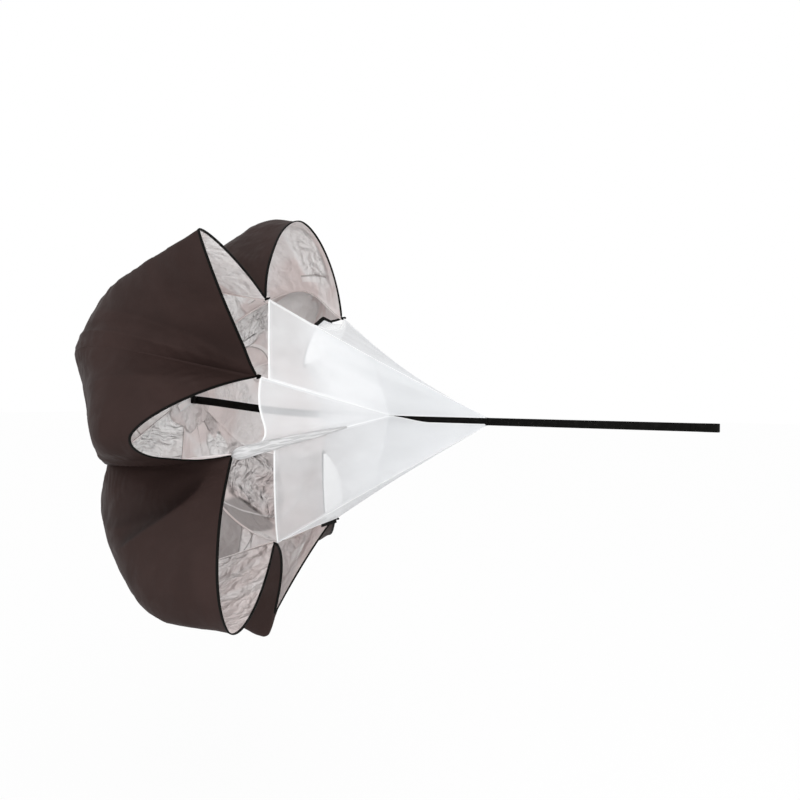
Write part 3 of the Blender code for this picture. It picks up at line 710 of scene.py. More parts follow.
@dataclass(frozen=True)
class OpenNet:
    """White net: a fine hexagonal mesh that light passes through, denser by the cloth's own density."""

    white: Colour = (0.845, 0.86, 0.875)
    dull: Colour = (0.82, 0.835, 0.85)
    shaded: Colour = (0.62, 0.63, 0.645)
    mesh_scale: float = 520.0
    thread_cover: float = 0.22
    thread_height: float = 0.0002
    glow: float = 0.30
    roughness: float = 0.8
    sheen: float = 0.15

    def material(self) -> Material:
        """White that lets some light through, greyer by painted shade, mixed with clear by its density and the
        mesh's threads.
        """
        nodes = Nodes("net")
        across, along = nodes.place()
        joined = nodes.add("ShaderNodeCombineXYZ", inputs={0: across, 1: along}).outputs[0]
        holes = nodes.add("ShaderNodeTexVoronoi", feature="DISTANCE_TO_EDGE", voronoi_dimensions="2D",
                          inputs={"Vector": joined, "Scale": self.mesh_scale, "Randomness": 0.25}).outputs[0]
        threads = nodes.ramp(holes, 0.10, 0.30, 1.0, 0.0)
        cover = nodes.maths("MULTIPLY", threads, self.thread_cover)
        cover = nodes.maths("ADD", nodes.cloth_value("Density"), cover)
        cover = nodes.add("ShaderNodeClamp", inputs={0: cover, 1: 0.0, 2: 1.0}).outputs[0]
        colour = nodes.mixed(nodes.ramp(nodes.noise(9.0, 2.0, 0.5), 0.35, 0.65), self.dull, self.white)
        # Painted shade: the near and lower panels go towards the shaded grey
        colour = nodes.mixed(nodes.maths("MULTIPLY", nodes.cloth_value("Tone"), -1.0), colour, self.shaded)
        normal = nodes.bump(threads, 0.15, self.thread_height)
        white = nodes.principled(Base_Color=colour, Roughness=self.roughness, Normal=normal,
                                 Specular_IOR_Level=self.sheen)
        glowing = nodes.add("ShaderNodeBsdfTranslucent", inputs={0: colour}).outputs[0]
        body = nodes.add("ShaderNodeMixShader", inputs={0: self.glow, 1: white, 2: glowing}).outputs[0]
        clear = nodes.add("ShaderNodeBsdfTransparent").outputs[0]
        return nodes.finish(nodes.add("ShaderNodeMixShader", inputs={0: cover, 1: clear, 2: body}).outputs[0])


@dataclass(frozen=True)
class WhiteTape:
    """White woven tape with fine cross ribs."""

    pale: Colour = (0.84, 0.845, 0.85)
    plain: Colour = (0.82, 0.825, 0.83)
    rib: float = 0.0014
    rib_height: float = 0.0003
    roughness: float = 0.75

    def material(self) -> Material:
        """Two whites mixed by a fine noise, over a bump of ribs along the tape."""
        nodes = Nodes("white_tape")
        normal = nodes.bump(nodes.ribs(nodes.place()[1], self.rib), 0.25, self.rib_height)
        colour = nodes.mixed(nodes.noise(80.0, 3.0), self.pale, self.plain)
        return nodes.finish(nodes.principled(Base_Color=colour, Roughness=self.roughness, Normal=normal))


@dataclass(frozen=True)
class RolledNet:
    """Net rolled up tightly: its turns show as long soft lines, with the fine mesh over them."""

    plain: Colour = (0.60, 0.60, 0.605)
    deep: Colour = (0.44, 0.44, 0.445)
    turn_height: float = 0.003
    mesh_height: float = 0.0003
    roughness: float = 0.8
    sheen: float = 0.15

    def material(self) -> Material:
        """Two greys mixed by a noise drawn out along the roll, the deeper grey as painted shade between its
        turns, over bumps of its turns and of the mesh.
        """
        nodes = Nodes("rolled_net")
        across, along = nodes.place()
        across = nodes.maths("MULTIPLY", across, 9.0)
        drawn = nodes.add("ShaderNodeCombineXYZ", inputs={0: across, 1: along}).outputs[0]
        turns = nodes.noise(34.0, 2.0, 0.4, drawn)
        # Painted shade: the deeper grey follows the low parts of the turns' bump
        colour = nodes.mixed(nodes.ramp(turns, 0.42, 0.60), self.deep, self.plain)
        normal = nodes.bump(turns, 0.6, self.turn_height)
        normal = nodes.bump(nodes.noise(900.0, 1.0), 0.2, self.mesh_height, normal)
        return nodes.finish(nodes.principled(Base_Color=colour, Roughness=self.roughness, Normal=normal,
                                             Specular_IOR_Level=self.sheen))


class Finishes:
    """The materials, each made once and shared by the pieces."""

    def __init__(self) -> None:
        """Makes every material."""
        self.dark = DarkNylon().material()
        self.silver = SilverCoating().material()
        self.webbing = RibbedWebbing().material()
        self.binding = Grosgrain().material()
        self.net = OpenNet().material()
        self.tape = WhiteTape().material()
        self.rolled = RolledNet().material()


# The canopy

# Seams and ridges, at the hem and at two places behind it: how far each lies ahead of the mouth, as a share
# of the canopy's depth, and how far out from the strap, as a share of the mouth's or the arch's radius
VALLEY_NAMES = ("upper_far", "upper_near", "near_upper", "near_lower",
                "lower_near", "lower_far", "far_lower", "far_upper")
VALLEY_ANGLES = (-28.5, 32.0, 71.5, 106.0, 156.0, 203.6, 248.0, 297.8)
VALLEY_SHARES: tuple[Shares, ...] = (
    ((0.00, 1.00), (-0.48, 1.35), (-1.02, 0.86)),
    ((0.00, 1.11), (-0.56, 1.22), (-1.00, 0.87)),
    ((0.16, 1.00), (-0.53, 1.66), (-0.97, 1.28)),
    ((0.00, 1.00), (-0.63, 1.35), (-0.83, 1.04)),
    ((0.00, 1.11), (-0.64, 1.39), (-0.83, 0.89)),
    ((0.00, 1.00), (-0.60, 1.33), (-1.02, 0.88)),
    ((-0.37, 1.00), (-0.70, 1.24), (-1.04, 0.86)),
    ((-0.53, 1.02), (-0.78, 1.24), (-1.04, 0.86)),
)
GORE_NAMES = ("top", "upper_near", "near", "lower_near", "bottom", "lower_far", "far", "upper_far")
RIDGE_ANGLES = (-2.4, 54.6, 93.6, 131.3, 182.7, 226.0, 269.0, 315.7)
RIDGE_SHARES: tuple[Shares, ...] = (
    ((-0.11, 0.99), (-0.50, 0.97), (-1.04, 0.49)),
    ((0.29, 1.26), (-0.74, 0.94), (-1.05, 0.61)),
    ((-0.15, 1.03), (-0.45, 1.02), (-1.04, 0.51)),
    ((0.37, 1.22), (-0.30, 1.16), (-1.11, 0.59)),
    ((-0.30, 1.03), (-0.45, 1.15), (-1.02, 0.73)),
    ((-0.48, 0.98), (-0.70, 1.05), (-1.06, 0.62)),
    ((-0.60, 0.95), (-0.76, 0.94), (-1.06, 0.58)),
    ((-0.38, 0.72), (-0.66, 1.10), (-1.06, 0.62)),
)
# How round each gore's arch is from its first seam and from its second, and the least and most behind the hem
ARCH_ROUNDNESS = (
    (1.82, 1.77), (1.32, 1.21), (1.70, 1.87), (2.17, 1.68),
    (0.70, 0.79), (1.60, 1.60), (2.00, 2.00), (1.71, 0.91),
)
BACK_ROUNDNESS = (1.4, 2.0)
BLUNT_SHARE = 0.05
PROFILE_KNOTS = (0.0, 0.42, 0.78, 1.0)


@dataclass(frozen=True)
class Crease:
    """A long crease over one gore, in places from hem (0) to crown (1) and from seam (-1) to seam (1)."""

    gore: int
    start: tuple[float, float]
    end: tuple[float, float]
    width: float
    height: float

    def beside(self, places: Array, across: Array) -> tuple[Array, Array]:
        """Where points lie beside the crease.

        Args:
            places: Places from hem to crown.
            across: Places from seam to seam.

        Returns:
            How many widths each point lies beside the crease, and how strongly the crease runs there.
        """
        way = np.subtract(self.end, self.start)
        down, sideways = np.meshgrid(places - self.start[0], across - self.start[1], indexing="ij")
        along = (down * way[0] + sideways * way[1]) / np.dot(way, way)
        fade = np.clip(10 * along, 0, 1) * np.clip(3 * (1 - along), 0, 1) * (1 - across[None, :] ** 40)
        return (down * way[1] - sideways * way[0]) / np.linalg.norm(way) / self.width, fade

    def rise(self, places: Array, across: Array) -> Array:
        """The crease's rise: a sharp crest, with a hollow on one side."""
        beside, fade = self.beside(places, across)
        return self.height * fade * (np.exp(-1.2 * np.abs(beside)) - 0.8 * np.exp(-(beside - 1.3) ** 2))

    def shade(self, places: Array, across: Array) -> Array:
        """The painted shade that the hollow keeps, darkest against the crest."""
        beside, fade = self.beside(places, across)
        deepest = CREASES[0].height
        away = np.exp(-np.clip(beside, 0, None) / 2.2)
        return fade * np.clip(beside / 0.3, 0, 1) * away * min(self.height / deepest, 1)


CREASES = (
    Crease(3, (0.04, -1.02), (0.50, -0.40), 0.036, 0.0090),
    Crease(3, (0.0, -1.0), (0.75, -0.35), 0.09, 0.0035),
    Crease(1, (0.0, 1.0), (0.60, 0.10), 0.10, 0.0030),
    Crease(1, (0.0, 1.0), (0.75, 0.55), 0.08, 0.0030),
    Crease(2, (0.0, 1.0), (0.60, 0.35), 0.10, 0.0030),
    Crease(2, (0.0, -1.0), (0.60, -0.45), 0.10, 0.0025),
    Crease(4, (0.0, -1.0), (0.70, 0.10), 0.11, 0.0040),
    Crease(0, (0.0, 1.0), (0.70, 0.20), 0.10, 0.0030),
)


@dataclass(frozen=True)
class Patch:
    """A soft-edged, blunt oval on a gore's inner face and how its cloth lies, with its light and shade painted
    on.

    Its middle and half sizes are places from seam to seam and from hem to crown.
    """

    gore: int
    middle: tuple[float, float]
    half: tuple[float, float]
    tone: float = 0.0
    crumple: float = 0.0
    upright: float = 0.0
    level: float = 0.0

    def cover(self, places: Array, across: Array) -> Array:
        """1 in the oval's middle and 0 outside it."""
        down, sideways = np.meshgrid(places, across, indexing="ij")
        sideways, down = (sideways - self.middle[0]) / self.half[0], (down - self.middle[1]) / self.half[1]
        return ease((1.2 - (sideways ** 4 + down ** 4) ** 0.25) / 0.35)


# Painted light and shade on the silver: a light and tone above 0 paints light or a highlight, below 0 paints
# shade, with some of the coating's own paler and greyer patches in it
PATCHES = (
    Patch(1, (-0.70, 0.07), (0.40, 0.10), tone=0.7, level=0.2, crumple=0.3),
    Patch(0, (-0.30, 0.60), (0.50, 0.07), tone=0.9, crumple=0.6),
    Patch(0, (-0.86, 0.70), (0.30, 0.05), tone=0.9, upright=0.6, crumple=0.3),
    Patch(7, (0.35, 0.70), (0.75, 0.09), tone=1.0, upright=0.8, crumple=1.1),
    Patch(7, (-0.40, 0.76), (0.10, 0.06), tone=0.8, crumple=0.6),
    Patch(7, (-0.78, 0.71), (0.18, 0.07), tone=-0.15),
    Patch(6, (0.90, 0.66), (0.16, 0.06), tone=0.2, crumple=0.6),
    Patch(0, (-0.72, 0.46), (0.28, 0.08), tone=0.1, crumple=0.2),
    Patch(0, (-0.60, 0.20), (0.32, 0.13), tone=1.0, crumple=0.7),
    Patch(7, (-0.26, 0.53), (0.42, 0.12), tone=1.0, crumple=0.15),
    Patch(7, (-0.58, 0.30), (0.24, 0.15), tone=1.0, crumple=0.3),
    Patch(7, (-0.08, 0.42), (0.12, 0.07), tone=1.0, crumple=0.3),
    Patch(6, (0.50, 0.86), (0.35, 0.08), tone=0.5, upright=0.7, crumple=0.3),
    Patch(2, (0.64, 0.95), (0.40, 0.05), tone=0.8, level=0.5),
    Patch(3, (0.10, 0.92), (1.00, 0.07), tone=0.9, level=1.2, crumple=0.7),
    Patch(5, (0.10, 0.89), (0.55, 0.05), tone=1.0, level=0.6, crumple=0.5),
    Patch(5, (0.55, 0.96), (0.45, 0.04), tone=-0.5, crumple=1.0),
    Patch(6, (-0.35, 0.82), (0.55, 0.10), tone=-0.3, crumple=0.2),
    Patch(5, (0.30, 0.72), (0.62, 0.13), tone=-0.3, upright=0.8, crumple=1.2),
    Patch(4, (0.86, 0.66), (0.42, 0.08), tone=-1.0),
    Patch(5, (-0.64, 0.655), (0.40, 0.095), tone=-1.0),
    Patch(4, (0.72, 0.565), (0.34, 0.026), tone=0.5, crumple=1.0),
    Patch(5, (-0.90, 0.52), (0.12, 0.030), tone=0.5, crumple=1.0),
    Patch(4, (0.20, 0.50), (0.60, 0.05), tone=-0.3, crumple=1.0),
    Patch(3, (0.74, 0.09), (0.36, 0.13), tone=-0.35, crumple=1.0),
    Patch(4, (0.80, 0.28), (0.20, 0.16), tone=-0.3, crumple=0.7),
    # A painted highlight
    Patch(4, (0.78, 0.20), (0.07, 0.05), tone=1.0, crumple=0.3),
)


@dataclass(frozen=True)
class Stitch:
    """A straight cross seam on a gore's inner face, from place to place, or right across if whole."""

    gore: int
    start: tuple[float, float]
    end: tuple[float, float]
    whole: bool = True

    def away(self, places: Array, across: Array, size: tuple[float, float]) -> tuple[Array, Array]:
        """The distance from the seam, less than 0 on one side of it.

        Args:
            places: Places from hem to crown.
            across: Places from seam to seam.
            size: The gore's half width and its length.

        Returns:
            Places by across of distances, and of 1 within reach of the seam and 0 elsewhere.
        """
        down, sideways = np.meshgrid(places, across, indexing="ij")
        way = np.subtract(self.end, self.start) * size
        x, y = (sideways - self.start[0]) * size[0], (down - self.start[1]) * size[1]
        distance = (x * way[1] - y * way[0]) / np.hypot(*way)
        along = (x * way[0] + y * way[1]) / np.dot(way, way)
        near = np.abs(distance) < 0.03
        return distance, near * 1.0 if self.whole else near * ((along > -0.02) & (along < 1.02))


STITCHES = (
    Stitch(0, (-0.95, 0.57), (-0.32, 0.66)),
    Stitch(0, (-0.88, 0.34), (-0.87, 0.10), False),
    Stitch(5, (-0.08, 0.59), (-0.84, 0.74)),
    Stitch(4, (0.40, 0.64), (1.00, 0.53)),
    Stitch(2, (-0.60, 0.84), (0.60, 0.86)),
    Stitch(7, (-0.97, 0.60), (-0.45, 0.755), False),
)


@dataclass(frozen=True)
class CanopySizes:
    """Sizes of the canopy's cloth and trim."""

    cloth: float = 0.0010
    half_width: float = 0.26
    length: float = 0.90
    binding_width: float = 0.0056
    binding_thickness: float = 0.0026
    rows: int = 120
    columns: int = 132
    broad_fold: float = 0.0022
    broad_fold_length: float = 0.085
    fine_fold: float = 0.0010
    fine_fold_length: float = 0.032
    gather: float = 0.0010
    seam_inset: float = 0.0026
    seam_half_width: float = 0.0030
    seam_half_height: float = 0.0012
    seam_girth: float = 0.012
    tab_curl: float = 0.0022
    tab_half_width: float = 0.0048
    tab_half_thickness: float = 0.0020
    tab_girth: float = 0.02


@dataclass(frozen=True)
class CrownSizes:
    """Sizes of the crown's patches and of the strip under the strap's end."""

    patch_start: float = 0.905
    patch_share: float = 0.25
    patch_thickness: float = 0.0007
    patch_gap: float = 0.0016
    patch_ripple: float = 0.0005
    patch_cloth: tuple[float, float] = (0.4, 0.07)
    strip_angle: float = 118.0
    strip_ends: tuple[float, float] = (-0.020, 0.046)
    strip_gap: float = 0.0042
    strip_half_width: float = 0.010
    strip_half_thickness: float = 0.0005
    strip_cloth: tuple[float, float] = (0.066, 0.04)
    strip_rows: int = 40
    edging_from_middle: float = 0.0082
    edging_above: float = 0.0006
    edging_half_width: float = 0.0016
    edging_half_thickness: float = 0.0008
    edging_girth: float = 0.004


class Canopy:
    """The eight gores with their bindings, corner tabs and crown patches."""

    def __init__(self, finishes: Finishes) -> None:
        """Keeps the finishes and sizes."""
        self.finishes = finishes
        self.sizes = CanopySizes()
        self.crown_sizes = CrownSizes()
        self.rows = fine(self.sizes.rows)
        self.columns = fine(self.sizes.columns)

    @staticmethod
    def meridian(shares: Shares, radius: float, angle: float, places: Array) -> Array:
        """One line from the hem (0) to the crown (1).

        Args:
            shares: How far ahead and how far out the line lies at three knots.
            radius: The radius that the second shares follow.
            angle: The line's angle from the top towards the near side, in degrees.
            places: Places along the line.

        Returns:
            The points, on a smooth curve through the three knots and the crown.
        """
        stations = [(forward * PLAN.canopy_depth, out * radius, 0.0) for forward, out in shares]
        stations.append((-PLAN.canopy_depth, PLAN.crown_radius, PLAN.crown_rise))
        forward, out, rise = through(PROFILE_KNOTS, stations, places).T
        return turned(forward, out, angle) + rise[:, None] * (0.0, 0.0, 1.0)

    @classmethod
    def valley(cls, index: int, places: Array) -> Array:
        """The seam line between two gores."""
        index %= len(VALLEY_NAMES)
        return cls.meridian(VALLEY_SHARES[index], PLAN.mouth_radius, VALLEY_ANGLES[index], places)

    @classmethod
    def ridge(cls, index: int, places: Array) -> Array:
        """The crest line of a gore."""
        return cls.meridian(RIDGE_SHARES[index], PLAN.arch_radius, RIDGE_ANGLES[index], places)

    def surface(self, index: int, places: Array, across: Array) -> Array:
        """The taut middle surface of a gore.

        Args:
            index: Which gore.
            places: Places from hem (0) to crown (1).
            across: Places from one seam (-1) to the next (1).

        Returns:
            Places by across of points on the chord between the seams, raised towards the ridge.
        """
        left, right = self.valley(index, places), self.valley(index + 1, places)
        crest = self.ridge(index, places)
        middle, half = (left + right) / 2, (right - left) / 2
        power = np.where(across < 0, *ARCH_ROUNDNESS[index])
        side = np.clip(np.abs(across), 0, 1)
        blunt = np.where(power < 1, BLUNT_SHARE, 0.0)
        rounded = (np.hypot(side, blunt) - blunt) / (np.hypot(1.0, blunt) - blunt)
        at_hem = (1 - np.clip(rounded, 0, 1) ** power) ** (1 / power)
        behind = 1 - side ** np.clip(power, *BACK_ROUNDNESS)
        turn = ease(np.asarray(places) / PROFILE_KNOTS[1])[:, None]
        height = (1 - turn) * at_hem[None, :] + turn * behind[None, :]
        return (middle[:, None] + half[:, None] * across[None, :, None]
                + (crest - middle)[:, None] * height[..., None])

    def outward(self, grid: Array) -> Array:
        """Unit normals of a grid that look away from the canopy's inside."""
        normals = grid_normals(grid)
        centre = np.array([PLAN.mouth_x - 0.3 * PLAN.canopy_depth, 0.0, 0.0])
        facing = np.sign(np.sum(normals * (grid - centre), axis=-1).mean())
        return normals * facing

    def folds(self, index: int, grid: Array, places: Array, across: Array) -> Array:
        """How far the folds and creases lift the cloth of a gore.

        Args:
            index: Which gore.
            grid: Its taut surface.
            places: Places from hem to crown.
            across: Places from seam to seam.

        Returns:
            Places by across of heights: broad and fine crinkles, and waves close to the seams, where the thread
            draws the cloth in, all three dying out at the hem and the seams, and the creases on top.
        """
        sizes = self.sizes
        loose = np.clip(12 * places, 0, 1)[:, None] * np.clip(9 * (1 - np.abs(across)), 0, 1)[None, :]
        fold = (sizes.broad_fold * crinkle(grid, sizes.broad_fold_length, 3 + index)
                + sizes.fine_fold * crinkle(grid, sizes.fine_fold_length, 40 + index))
        down, sideways = np.meshgrid(places, across, indexing="ij")
        near_seam = np.exp(-((1 - np.abs(sideways)) / 0.14) ** 2)
        gather = sizes.gather * np.sin(down * 150 + 6 * lattice_noise(grid, 0.05, 70 + index)) * near_seam
        total = (fold + gather) * loose
        for crease in CREASES:
            if crease.gore == index:
                total = total + crease.rise(places, across)
        return total

    def shaped(self, index: int, places: Array, across: Array) -> tuple[Array, Array]:
        """A gore's folded surface and its outward normals."""
        taut = self.surface(index, places, across)
        folded = taut + self.outward(taut) * self.folds(index, taut, places, across)[..., None]
        return folded, self.outward(folded)

    @staticmethod
    def shade(index: int, places: Array, across: Array) -> Array:
        """How deep each point of a gore lies in the shade of its creases, from 0 to 1: shade painted on the
        outer face.
        """
        shades = [crease.shade(places, across) for crease in CREASES if crease.gore == index]
        return np.clip(sum(shades, np.zeros((len(places), len(across)))), 0, 1)

    def lie(self, index: int, places: Array, across: Array) -> dict[str, Array]:
        """How a gore's inner face lies.

        Args:
            index: Which gore.
            places: Places from hem to crown.
            across: Places from seam to seam.

        Returns:
            Places by across of each cloth value: each patch blends its own over those before it.
        """
        values = {name: np.zeros((len(places), len(across))) for name in ("Tone", "Crumple", "Upright", "Level")}
        for patch in PATCHES:
            if patch.gore == index:
                cover = patch.cover(places, across)
                for name, value in values.items():
                    value += (getattr(patch, name.lower()) - value) * cover
        # Two seams meet in one value that is 0 on each of them
        values["Seam"] = np.ones((len(places), len(across)))
        values["Stitched"] = np.zeros((len(places), len(across)))
        for stitch in STITCHES:
            if stitch.gore == index:
                away, reached = stitch.away(places, across, (self.sizes.half_width, self.sizes.length))
                values["Seam"] = values["Seam"] * away / np.maximum(np.abs(values["Seam"]), np.abs(away))
                values["Stitched"] = np.maximum(values["Stitched"], reached)
        return values

    def gore(self, index: int) -> Piece:
        """One gore, dark outside and silver inside.

        Args:
            index: Which gore.

        Returns:
            The gore: its surface moved half the cloth's thickness either way, with a rim.
        """
        places = np.linspace(0, 1, self.rows) ** 1.15
        across = -np.cos(np.linspace(0, math.pi, self.columns))
        across = 0.55 * across + 0.45 * np.linspace(-1, 1, self.columns)
        grid, normals = self.shaped(index, places, across)
        half = self.sizes.cloth / 2
        uv = np.stack(np.meshgrid((across + 1) / 2, places), axis=-1)
        mesh = Mesh()
        flip = float(np.sum(grid_normals(grid) * normals, axis=-1).mean()) < 0
        shade = self.shade(index, places, across)
        # The outer face carries the creases' shade, painted into the dark nylon's colour
        outer = mesh.add_grid(grid + normals * half, uv, 0, flip=not flip, Tone=-shade)
        inner = mesh.add_grid(grid - normals * half, uv, 1, flip=flip, **self.lie(index, places, across))
        for first, second in ((outer[0], inner[0]), (inner[-1], outer[-1]),
                              (inner[:, 0], outer[:, 0]), (outer[:, -1], inner[:, -1])):
            if flip:
                first, second = second, first
            mesh.close_rim(first, second, 0)
        name = GORE_NAMES[index]
        both = [self.finishes.dark, self.finishes.silver]
        thing = mesh.made(f"cloth_{name}", both, (f"gore_{name}",))
        taut = self.surface(index, places, across)
        return thing

    def binding(self, index: int) -> Piece:
        """The narrow black binding along a gore's arched front edge.

        Args:
            index: Which gore.

        Returns:
            The binding: a blunt oval carried along the hem, with its ends drawn in.
        """
        sizes = self.sizes
        count = fine(240)
        across = -np.cos(np.linspace(0, math.pi, count * 2))
        grid, normals = self.shaped(index, np.array([0.0, 0.004, 0.008]), across)
        hem = spaced(grid[0], count)
        inward = spaced(grid[1], count) - hem
        evenly = np.linspace(0, 1, count), np.linspace(0, 1, len(across))
        outward_face = unit(np.column_stack([np.interp(*evenly, normals[0, :, axis]) for axis in range(3)]))
        _, into, face = path_frames(hem, inward)
        face = face * np.sign(np.sum(face * outward_face, axis=-1, keepdims=True))
        from_end = np.minimum(np.arange(count), np.arange(count)[::-1])
        taper = ease(from_end / (count * 0.02))[:, None] * 0.5 + 0.5
        centres = hem + into * sizes.binding_width * 0.15
        ring = tube_grid(centres, into * sizes.binding_width / 2 * taper,
                         face * sizes.binding_thickness / 2 * taper, 12, 0.6)
        name = GORE_NAMES[index]
        return made_tube(f"hem_tape_{name}", ring, (line_length(hem), 2.2 * sizes.binding_width),
                         self.finishes.binding, (f"hem_binding_{name}",))

    def seam(self, index: int) -> Piece:
        """The felled seam inside, between two gores, slimmer near the crown."""
        sizes = self.sizes
        places = np.linspace(0.0, 1.0, fine(160))
        line = self.valley(index, places)
        outward = unit(line - (PLAN.mouth_x - 0.3 * PLAN.canopy_depth, 0.0, 0.0))
        along, across, _ = path_frames(line, outward)
        side = np.cross(along, across)
        slim = (1 - 0.85 * ease((places - 0.78) / 0.14))[:, None]
        ring = tube_grid(line - across * sizes.seam_inset, side * sizes.seam_half_width * slim,
                         across * sizes.seam_half_height * slim, 8, 0.7)
        name = VALLEY_NAMES[index]
        return made_tube(f"seam_{name}", ring, (line_length(line), sizes.seam_girth), self.finishes.silver,
                         ())

    @staticmethod
    def corner(index: int) -> tuple[Array, Array, Array]:
        """A mouth corner, with the directions out from the strap and round the mouth there."""
        angle = math.radians(VALLEY_ANGLES[index])
        point = Canopy.valley(index, np.array([0.0]))[0]
        out = np.array([0.0, -math.sin(angle), math.cos(angle)])
        return point, out, np.cross((1.0, 0.0, 0.0), out)

    def tab(self, index: int) -> Piece:
        """The folded webbing tab at a mouth corner, curled outwards by the square of its length."""
        sizes = self.sizes
        point, out, round_way = self.corner(index)
        steps = np.linspace(0, 1, 14)
        curl = sizes.tab_curl * steps ** 2
        centres = point + np.outer(steps * PLAN.tab_length * 0.8, (1.0, 0.0, 0.0)) + np.outer(curl, out)
        width = sizes.tab_half_width * (1 - 0.45 * steps ** 2)
        depth = sizes.tab_half_thickness * (1 - 0.35 * steps)
        ring = tube_grid(centres, np.outer(width, round_way), np.outer(depth, out), 16, 0.5)
        name = VALLEY_NAMES[index]
        return made_tube(f"tab_{name}", ring, (PLAN.tab_length, sizes.tab_girth), self.finishes.webbing,
                         (f"corner_tab_{name}",))

    def crown_patch(self, inside: bool) -> Piece:
        """A round patch sewn over the gores' tips.

        Args:
            inside: Whether it is the silver one inside, or else the dark one outside.

        Returns:
            The patch: rings from its edge on the gores to their tips and on to the middle, moved off the cloth.
        """
        sizes = self.crown_sizes
        columns = 60
        turns = np.linspace(-1, 1, columns, endpoint=False)
        places = np.array([sizes.patch_start, 1.0])
        rings = [self.surface(index, places, turns) for index in range(len(GORE_NAMES))]
        before, tip = np.concatenate(rings, axis=1)
        edge = tip + (before - tip) * sizes.patch_share
        centre = tip.mean(axis=0)
        slope = np.stack([edge + (tip - edge) * step for step in np.linspace(0, 1, 10)])
        disc = np.stack([tip + (centre - tip) * step for step in np.linspace(0, 1, 16)[1:]])
        grid = np.concatenate([slope, disc])
        closed = np.concatenate([grid, grid[:, :1]], axis=1)
        normals = grid_normals(closed)[:, :-1]
        normals[-1] = (-1.0, 0.0, 0.0)
        facing = -np.sign(normals[len(slope), :, 0].mean())
        normals[:-1] = normals[:-1] * facing
        side = -1.0 if inside else 1.0
        thickness = sizes.patch_thickness
        lift = side * (self.sizes.cloth / 2 + thickness / 2 + sizes.patch_gap)
        ripple = sizes.patch_ripple * crinkle(grid, 0.02, 90 + int(inside))[..., None]
        middle = grid + normals * (lift + ripple)
        rows, columns = grid.shape[:2]
        round_it, inward = sizes.patch_cloth
        uv = np.stack(np.meshgrid(np.linspace(0, round_it, columns), np.linspace(0, inward, rows)), axis=-1)
        mesh = Mesh()
        # Painted shade on both of the crown's patches, deep in the canopy's tip
        lie = {"Tone": -0.35, "Crumple": 0.8}
        front = mesh.add_grid(middle + normals * thickness / 2, uv, 0, wrap=True, **lie)
        back = mesh.add_grid(middle - normals * thickness / 2, uv, 0, flip=True, wrap=True, **lie)
        mesh.close_rim(np.append(back[0], back[0][0]), np.append(front[0], front[0][0]), 0)
        name = "inner" if inside else "outer"
        finish, slot = ((self.finishes.silver, Slot.SILVER) if inside else (self.finishes.dark, Slot.DARK))
        return mesh.made(f"crown_cloth_{name}", [finish], (f"crown_patch_{name}",))

    def crown_strip(self) -> Piece:
        """The strip of silver cloth under the strap's end, with a white edging along both its edges."""
        sizes = self.crown_sizes
        count = sizes.strip_rows
        angle = math.radians(sizes.strip_angle)
        way = np.array([0.0, -math.sin(angle), math.cos(angle)])
        steps = np.linspace(*sizes.strip_ends, count)
        centres = np.array([PLAN.crown_x + sizes.strip_gap, 0.0, PLAN.crown_rise]) + np.outer(steps, way)
        side = np.cross((1.0, 0.0, 0.0), way)
        mesh = Mesh()
        ring = tube_grid(centres, np.tile(side * sizes.strip_half_width, (count, 1)),
                         np.tile(FORWARD * sizes.strip_half_thickness, (count, 1)), 16, 0.4)
        add_tube(mesh, ring, *sizes.strip_cloth)
        for edge in (-sizes.edging_from_middle, sizes.edging_from_middle):
            line = centres + side * edge + FORWARD * sizes.edging_above
            ring = tube_grid(line, np.tile(side * sizes.edging_half_width, (count, 1)),
                             np.tile(FORWARD * sizes.edging_half_thickness, (count, 1)), 8)
            add_tube(mesh, ring, sizes.strip_cloth[0], sizes.edging_girth, 1)
        both = [self.finishes.silver, self.finishes.tape]
        return mesh.made("crown_band", both, ("crown_strip",))

    def build(self) -> None:
        """Builds the whole canopy."""
        for index in range(len(GORE_NAMES)):
            for piece in (self.gore, self.binding, self.seam, self.tab):
                LOG.info("canopy %s", piece(index).name)
        for piece in (self.crown_patch(True), self.crown_patch(False), self.crown_strip()):
            LOG.info("canopy %s", piece.name)


# The net

# Where each seam meets the net's point, in degrees from the top towards the near side
LANDING_ANGLES = (-30.0, 12.0, 38.0, 124.0, 168.0, 205.0, 248.0, 292.0)
# The two seams that part round the strap
SLIT_SEAMS = (2, 3)
# Each panel's hem: where it starts on either seam, how far it bows between them, and how its bow leans
HEM_SHARES = (
    (0.00, 0.20, 0.080, 1.0),
    (0.00, 0.03, 0.000, 1.0),
    (0.001, 0.04, 0.042, 2.6),
    (0.115, 0.00, 0.008, 1.0),
    (0.02, 0.00, 0.010, 1.0),
    (0.03, 0.00, 0.066, 1.0),
    (0.00, 0.00, 0.055, 1.0),
    (0.00, 0.03, 0.066, 1.0),
)
# Each seam's sag, each panel's closeness and the shade painted on it, and where its folds begin to bunch and are
# closest
SEAM_SAG_SHARES = (1.0, 0.4, 0.0, 0.0, 0.2, 0.3, 0.5, 0.6)
PANEL_DENSITY = (0.66, 0.50, 0.56, 0.46, 0.74, 0.80, 0.80, 0.80)
PANEL_PAINTED_SHADE = (0.0, 0.0, -0.30, -0.60, -0.20, 0.0, 0.0, 0.0)
BUNCHING_PLACES = (
    (0.35, 1.0), (0.08, 0.34), (0.20, 0.80), (0.12, 0.50), (0.35, 1.0), (0.35, 1.0), (0.35, 1.0), (0.35, 1.0),
)


